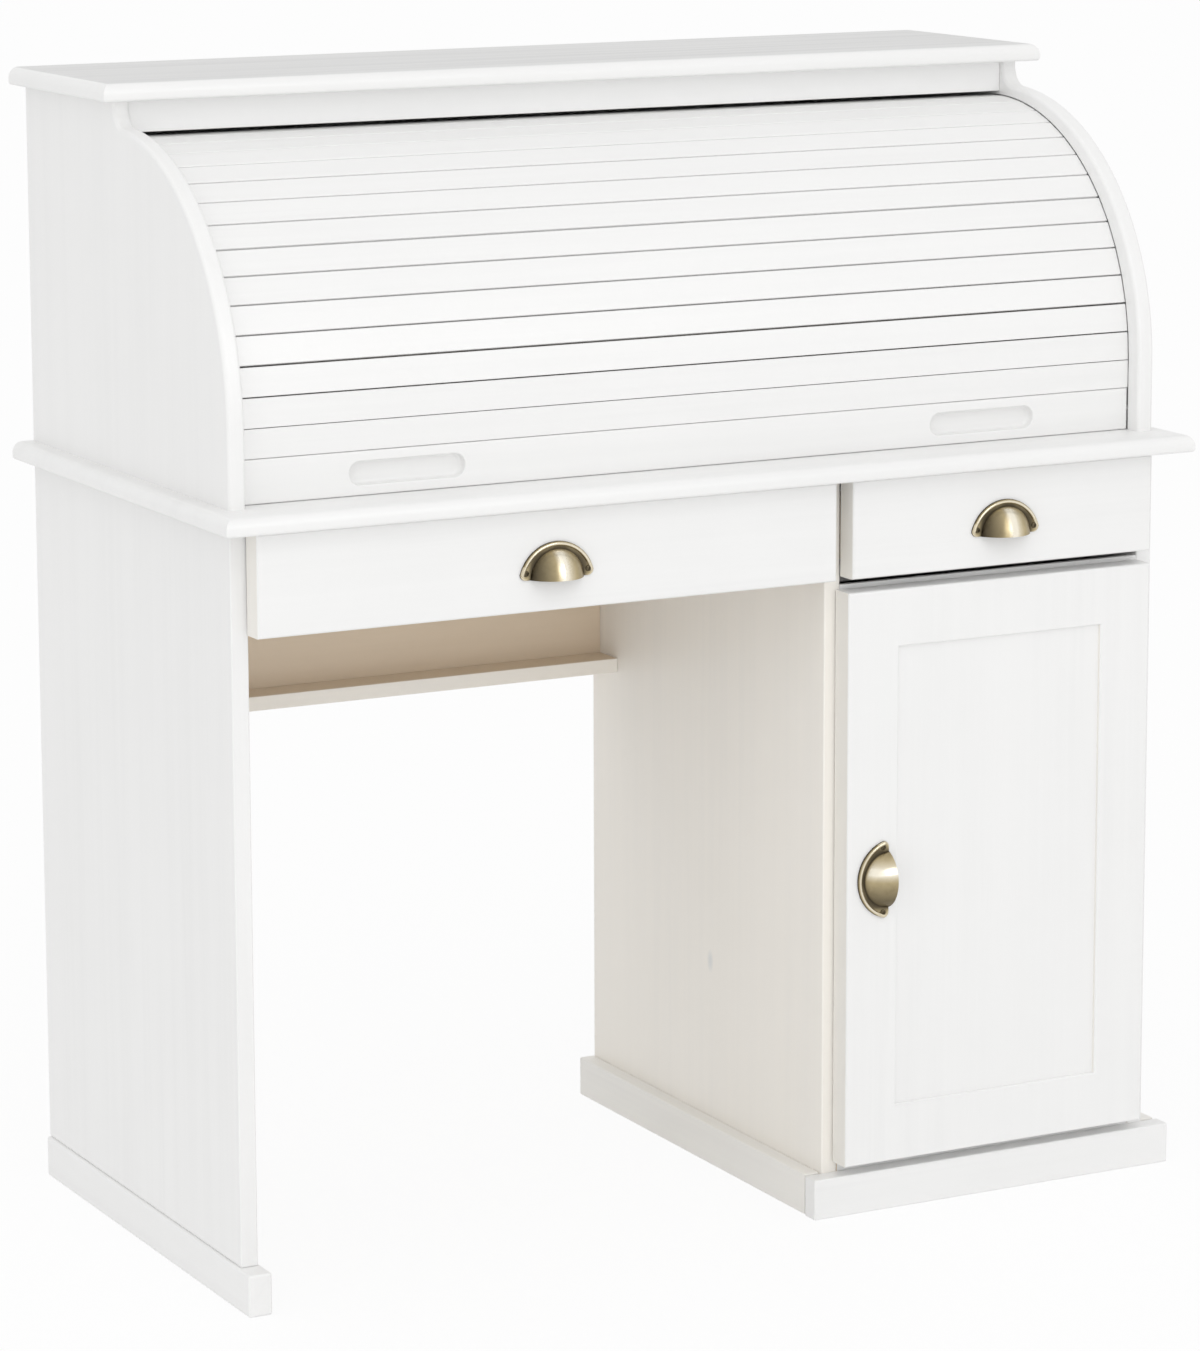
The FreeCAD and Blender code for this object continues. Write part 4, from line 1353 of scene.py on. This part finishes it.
    def add_cup(self, mesh: BMesh) -> None:
        """Adds the half dome with its wall.

        Args:
            mesh: The handle's mesh.
        """
        sphere = (self.cup_radius ** 2 + self.projection ** 2) / (2 * self.projection)
        centre = Vector((0, sphere - self.projection, 0))
        verts, faces = set(mesh.verts), set(mesh.faces)
        arc_on(mesh, [mesh.verts.new(Vector((0, -self.projection, 0)))], centre, Z_AXIS,
               math.acos(centre.y / sphere), self.dome_rings)
        profile = [vertex for vertex in mesh.verts if vertex not in verts]
        bmesh.ops.spin(mesh, geom=[*profile, *edges_of(profile)], cent=ORIGIN, axis=Y_AXIS,
                       angle=-math.pi, steps=self.dome_steps)
        dome = [vertex for vertex in mesh.verts if vertex not in verts]
        bmesh.ops.remove_doubles(mesh, verts=dome, dist=TOUCH)
        shell = [face for face in mesh.faces if face not in faces]
        bmesh.ops.recalc_face_normals(mesh, faces=shell)
        if sum(face.normal.y * face.calc_area() for face in shell) > 0:
            bmesh.ops.reverse_faces(mesh, faces=shell)
        bmesh.ops.solidify(mesh, geom=shell, thickness=self.wall)

    def patina_at(self, at: Vector) -> float:
        """Says how dark the brass is at a point.

        Args:
            at: The point, on the handle as drawn at the origin.

        Returns:
            Zero for a painted highlight, up to one for patina in hollows and painted shade on flanks and
            edges.
        """
        if math.hypot(at.x, at.z) < self.cup_radius + TOUCH:
            # A painted highlight band across the cup, painted shade towards its flanks, and patina at its
            # foot.
            aside = abs(at.x - self.painted_highlight_at) - self.painted_highlight_half_width
            flank = min(1.0, max(0.0, aside / (self.cup_radius - self.painted_highlight_half_width)))
            foot = min(1.0, max(0.0, 1.0 + (at.y + self.plate) / self.groove_reach))
            dark = self.painted_flank_shade[at.x > self.painted_highlight_at]
            return max(dark * flank ** self.flank_curve, self.hollow_patina * foot)
        screw = math.hypot(abs(at.x) - self.spacing / 2, at.z - self.screw_lift)
        if screw < self.ear_radius + self.bead_width / 4 and at.y < -self.edge_reach:
            return self.ear_patina
        # Painted highlight on the bead's crest, darkening into painted shade at the plate's base.
        depth = min(1.0, (at.y + self.bead_height) / (self.bead_height - self.edge_reach))
        return self.rim_painted_highlight + (self.edge_painted_shade - self.rim_painted_highlight) * depth

    def build(self) -> None:
        """Makes the handle and its screws."""
        mesh = self.build_plate()
        self.add_bead(mesh)
        self.add_cup(mesh)
        node = self.body + "_handle"
        piece = as_object(node + "_cast", mesh)
        mark_patina_and_painted_light(piece, self.patina_at)
        place = self.place(node)
        piece.data.transform(place)
        self.build_screws(place)
        dress(piece, self.finish, self.body, node)

    def place(self, node: str) -> Matrix:
        """Finds the handle's place on its front.

        Args:
            node: The CAD handle.

        Returns:
            The turn and shift from the drawn handle.
        """
        low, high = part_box(node)
        if self.upright:
            return Matrix.Translation(Vector(((low.x + high.x) / 2, high.y, low.z)))
        turn = Matrix.Rotation(-QUARTER, 4, "Y")
        return Matrix.Translation(Vector((high.x, high.y, (low.z + high.z) / 2))) @ turn

    def add_screw(self, mesh: BMesh, seat: Vector) -> None:
        """Adds one screw without its slots.

        Args:
            mesh: The mesh of both screws.
            seat: Where the head sits on the ear.
        """
        depth = self.shaft_length
        outline = [(across * self.head_radius, -out * self.head_height) for across, out in self.head_curve]
        outline += [(self.shaft_radius, 0), (self.shaft_radius, depth), (0, depth)]
        profile = [mesh.verts.new(seat + Vector((across, out, 0))) for across, out in outline]
        edges = [mesh.edges.new(pair) for pair in zip(profile, profile[1:])]
        bmesh.ops.spin(mesh, geom=[*profile, *edges], cent=seat, axis=Y_AXIS, angle=math.tau,
                       steps=self.screw_steps, use_merge=True)

    def build_screws(self, place: Matrix) -> None:
        """Makes both screws with crossed slots.

        Args:
            place: The handle's place.
        """
        mesh = bmesh.new()
        seats = [Vector((end * self.spacing / 2, -self.plate, self.screw_lift)) for end in (-1, 1)]
        for seat in seats:
            self.add_screw(mesh, seat)
        bmesh.ops.remove_doubles(mesh, verts=mesh.verts, dist=WELD)
        bmesh.ops.recalc_face_normals(mesh, faces=mesh.faces)
        piece = as_object(self.body + "_handle_crosshead_screws", mesh)
        size = Vector((self.slot_length / 2, self.slot_depth, self.slot_width / 2))
        for seat in seats:
            for turn in (0, QUARTER):
                cutter = bmesh.new()
                made = add_block(cutter, -size, size)
                turn_about(cutter, made, turn + math.copysign(self.slot_turn, seat.x), "Y")
                bmesh.ops.translate(cutter, vec=seat - Vector((0, self.head_height, 0)), verts=made)
                carve(piece, cutter)
        mark_patina_and_painted_light(piece, lambda at: self.screw_patina)
        piece.data.transform(place)
        dress(piece, self.finish, self.body, self.body + "_handle_screws")


@dataclass(frozen=True)
class Softbox:
    """A soft rectangular lamp, either to light the surfaces or to show in the metal."""

    name: str
    place: Triple
    target: Triple
    size: Pair
    power: float
    for_metal: bool = False

    def hang(self) -> None:
        """Adds the lamp to the scene."""
        data = bpy.data.lights.new(self.name, "AREA")
        data.shape = "RECTANGLE"
        data.size, data.size_y = self.size
        data.energy = self.power
        lamp = bpy.data.objects.new(self.name, data)
        lamp.visible_diffuse = not self.for_metal
        lamp.visible_glossy = self.for_metal
        lamp.location = self.place
        look = Vector(self.target) - Vector(self.place)
        lamp.rotation_euler = look.to_track_quat("-Z", "Y").to_euler()
        bpy.context.scene.collection.objects.link(lamp)


@dataclass
class Studio:
    """The pale floor, the soft light and the camera."""

    yaw: float = 0.4822
    pitch: float = 0.1742
    roll: float = 0.0036
    focal_pixels: float = 4889.8
    place: Triple = (-2.1891, -4.1302, 1.4530)
    shift: Pair = (0.014, -0.095)
    sensor: float = 36.0
    floor_half: float = 30.0
    floor_colour: Triple = (0.95, 0.95, 0.95)
    floor_glow: float = 0.9
    brightest: Triple = (-0.47, -0.68, 0.56)
    room_light: Pair = (0.402, 1.084)
    lamps: tuple[Softbox, ...] = (
        Softbox("front_softbox", (-1.5, -3.7, 0.95), (0.0, 0.0, 0.5), (1.8, 1.8), 10.5),
        Softbox("high_softbox", (-0.3, -2.4, 3.1), (0.0, 0.0, 0.9), (2.0, 1.2), 6.5),
        Softbox("metal_card", (0.6, -3.5, 2.2), (0.0, 0.0, 0.6), (1.7, 1.5), 24.0, True),
    )

    def build_camera(self) -> None:
        """Sets the camera at the photograph's viewing angle."""
        data = bpy.data.cameras.new("camera")
        data.sensor_width = self.sensor
        data.lens = self.focal_pixels / IMAGE_HEIGHT * self.sensor
        data.shift_x, data.shift_y = self.shift
        camera = bpy.data.objects.new("camera", data)
        turn = (Matrix.Rotation(-self.yaw, 4, "Z") @ Matrix.Rotation(QUARTER - self.pitch, 4, "X")
                @ Matrix.Rotation(-self.roll, 4, "Z"))
        camera.matrix_world = Matrix.Translation(self.place) @ turn
        bpy.context.scene.collection.objects.link(camera)
        bpy.context.scene.camera = camera

    @staticmethod
    def direct_look(sketch: NodeSketch) -> Socket:
        """Tells the rays that show the background, straight or in a reflection.

        Args:
            sketch: The tree to add to.

        Returns:
            One for camera, glossy and transmission rays, and zero for the rest.
        """
        rays = sketch.add("LightPath").outputs
        mirrored = sketch.maths("MAXIMUM", rays["Is Glossy Ray"], rays["Is Transmission Ray"])
        return sketch.maths("MAXIMUM", rays["Is Camera Ray"], mirrored)

    def build_floor(self) -> None:
        """Makes the plain pale floor, white to the eye with the desk's own shadow on it."""
        mesh = bmesh.new()
        bmesh.ops.create_grid(mesh, x_segments=1, y_segments=1, size=self.floor_half)
        floor = as_object("floor", mesh)
        material, sketch = empty_material("floor_paper")
        paper = sketch.add("BsdfDiffuse", {"Color": (*self.floor_colour, 1.0)})
        glow = sketch.add("Emission", {"Strength": 1.0})
        share = sketch.maths("MULTIPLY", self.direct_look(sketch), self.floor_glow)
        blend = sketch.add("MixShader", {"Fac": share, 1: paper.outputs["BSDF"], 2: glow.outputs["Emission"]})
        sketch.add("OutputMaterial", {"Surface": blend.outputs["Shader"]})
        floor.data.materials.append(material)

    def build_world(self) -> None:
        """Lights the room softly, most from the front, and shows it white behind the desk."""
        world = bpy.data.worlds.new("studio")
        world.use_nodes = True
        world.node_tree.nodes.clear()
        sketch = NodeSketch(world.node_tree)
        facing = sketch.add("VectorMath", {0: sketch.add("TexCoord").outputs["Generated"],
                                           1: Vector(self.brightest).normalized()}, operation="DOT_PRODUCT")
        strength = sketch.remap(facing.outputs["Value"], (-1.0, 1.0), self.room_light)
        white = (*UNIT, 1.0)
        fill = sketch.add("Background", {"Color": white, "Strength": strength})
        seen = sketch.add("Background", {"Color": white, "Strength": 1.0})
        blend = sketch.add("MixShader", {"Fac": self.direct_look(sketch), 1: fill.outputs["Background"],
                                         2: seen.outputs["Background"]})
        sketch.add("OutputWorld", {"Surface": blend.outputs["Shader"]})
        bpy.context.scene.world = world

    def build(self) -> None:
        """Sets up the studio."""
        self.build_camera()
        self.build_floor()
        self.build_world()
        for lamp in self.lamps:
            lamp.hang()
        bpy.context.scene.view_settings.view_transform = "Standard"


@dataclass
class Carcass:
    """The standing boards of the desk."""

    panel_arris: float = 1.6 * MM
    foot_arris: float = 2.6 * MM
    back_arris: float = 0.4 * MM
    plinth_joint: Triple = (0.0, 4.0 * MM, 0.0)
    floor_joint: Triple = (0.0, -1.9 * MM, -3.0 * MM)
    stop_strip: Triple = (0.0, -29.9 * MM, -13.5 * MM)
    nosing: tuple[tuple[Side, float, Steps], ...] = (
        (Side.TOP, 10 * MM, Steps.NOSING), (Side.BOTTOM, 3 * MM, Steps.ROUND),
        (Side.BACK, 1 * MM, Steps.SLIGHT))

    def boards(self) -> list[PlainBoards]:
        """Lists the straight boards.

        Returns:
            The boards of each node with their finish.
        """
        panel, backs = self.panel_arris, ("pedestal_back", "hutch_back", "pigeonhole_back")
        return [
            PlainBoards("left_side_panel", FINISH.upright, panel),
            PlainBoards("pedestal_left_panel", FINISH.kneehole_panel_painted_light, panel),
            PlainBoards("pedestal_right_panel", FINISH.upright, panel),
            PlainBoards("pedestal_floor", FINISH.pine_and_shade_level, joint=self.floor_joint,
                        second=(Side.FRONT, FINISH.level)),
            PlainBoards("pedestal_drawer_rail", FINISH.level, strip=self.stop_strip),
            PlainBoards("pedestal_shelf", FINISH.pine_and_shade_level),
            PlainBoards("shelf_cleats", FINISH.pine_and_shade_deep),
            PlainBoards("plinth_sides", FINISH.flank, panel, joint=self.plinth_joint),
            PlainBoards("plinth_front", FINISH.level, panel),
            PlainBoards("left_foot", FINISH.deep, self.foot_arris),
            PlainBoards("back_stretcher", FINISH.pine_and_shade_level),
            PlainBoards("back_ledge", FINISH.ledge, second=(Side.TOP, FINISH.pine_and_shade_level)),
            PlainBoards("fascia", FINISH.fascia),
            PlainBoards("pigeonhole_shelf", FINISH.level),
            PlainBoards("pigeonhole_dividers", FINISH.upright),
            PlainBoards("centre_drawer_runners", FINISH.pine_and_shade_deep),
            PlainBoards("pedestal_drawer_runners", FINISH.pine_and_shade_deep),
            *(PlainBoards(node, FINISH.board, self.back_arris, Steps.SLIGHT) for node in backs),
        ]

    def build(self) -> None:
        """Makes every straight board and both tops."""
        for board in self.boards():
            board.build()
        EasedBoard("worktop", "_moulded", self.nosing).build()
        # The top face gets the darker lacquer of painted shade.
        EasedBoard("top_board", "_moulded", self.nosing, (Side.TOP, FINISH.top)).build()
        repaint("door_hinge_plates", FINISH.steel)


@dataclass
class RollTop:
    """The hutch sides and the curtain that runs in them."""

    slat_count: int = 15
    rail_height: float = 41.4 * MM
    slat_pitch: float = 26.8 * MM
    even_gap: float = 0.35 * MM
    low_gaps: tuple[float, ...] = (0.2 * MM, 0.16 * MM, 0.16 * MM)
    worn_gaps: tuple[tuple[int, float], ...] = ((3, 0.75 * MM), (6, 0.45 * MM), (7, 0.85 * MM), (8, 0.5 * MM),
                                                (10, 0.7 * MM), (13, 0.5 * MM))
    low_arris: float = 0.35 * MM
    high_arris: float = 1.5 * MM

    def gaps(self) -> list[float]:
        """Lists the gap below each slat and above the last, tight above the rail and uneven further up.

        Returns:
            The gaps from the lift rail upwards.
        """
        gaps = [self.even_gap] * (self.slat_count + 1)
        for number, gap in (*enumerate(self.low_gaps), *self.worn_gaps):
            gaps[number] = gap
        return gaps

    def build(self) -> None:
        """Makes the sides, the lift rail and the slats."""
        path = CurtainPath(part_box("worktop")[1].z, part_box("hutch_left_side")[0].y)
        HutchSide("hutch_left_side", path, True).build()
        HutchSide("hutch_right_side", path, False).build()
        LiftRail(path).build()
        gaps = self.gaps()
        for index in range(self.slat_count):
            arris = self.low_arris + (self.high_arris - self.low_arris) * index / (self.slat_count - 1)
            start = self.rail_height + index * self.slat_pitch
            Slat(index + 1, path, start, gaps[index], gaps[index + 1], arris).build()


@dataclass
class Drawer:
    """A drawer with its cup handle."""

    prefix: str
    rounds: tuple[tuple[Side, float, Steps], ...] = (
        (Side.FRONT, 2.5 * MM, Steps.ROUND), (Side.BACK, 0.8 * MM, Steps.SLIGHT))

    def build(self) -> None:
        """Dresses the drawer."""
        # The front's left-facing faces get the beige painted shade.
        EasedBoard(self.prefix + "_front", "_eased", self.rounds, (Side.LEFT, FINISH.edge)).build()
        repaint(self.prefix + "_sides", FINISH.pine_and_shade_deep)
        repaint(self.prefix + "_back", FINISH.pine_and_shade_level)
        repaint(self.prefix + "_bottom", FINISH.board)
        CupHandle(self.prefix, FINISH.brass_level).build()


@dataclass
class Door:
    """The pedestal door, whose handle lies on its side with its painted highlight band above its middle."""

    # Where the handle's painted highlight band sits, and its painted flank shade.
    painted_highlight_at: float = 10 * MM
    painted_flank_shade: Pair = (0.75, 0.6)

    def build(self) -> None:
        """Dresses the door."""
        DoorFrame().build()
        repaint("door_panel", FINISH.upright)
        repaint("door_hinge_pins", FINISH.steel)
        CupHandle("door", FINISH.brass_upright, False, self.painted_highlight_at, self.painted_flank_shade).build()


def main() -> None:
    """Builds the desk in its studio."""
    logging.basicConfig(level=logging.INFO, format="%(name)s: %(message)s")
    Studio().build()
    Carcass().build()
    RollTop().build()
    for prefix in ("centre_drawer", "pedestal_drawer"):
        Drawer(prefix).build()
    Door().build()


if __name__ == "__main__":
    main()
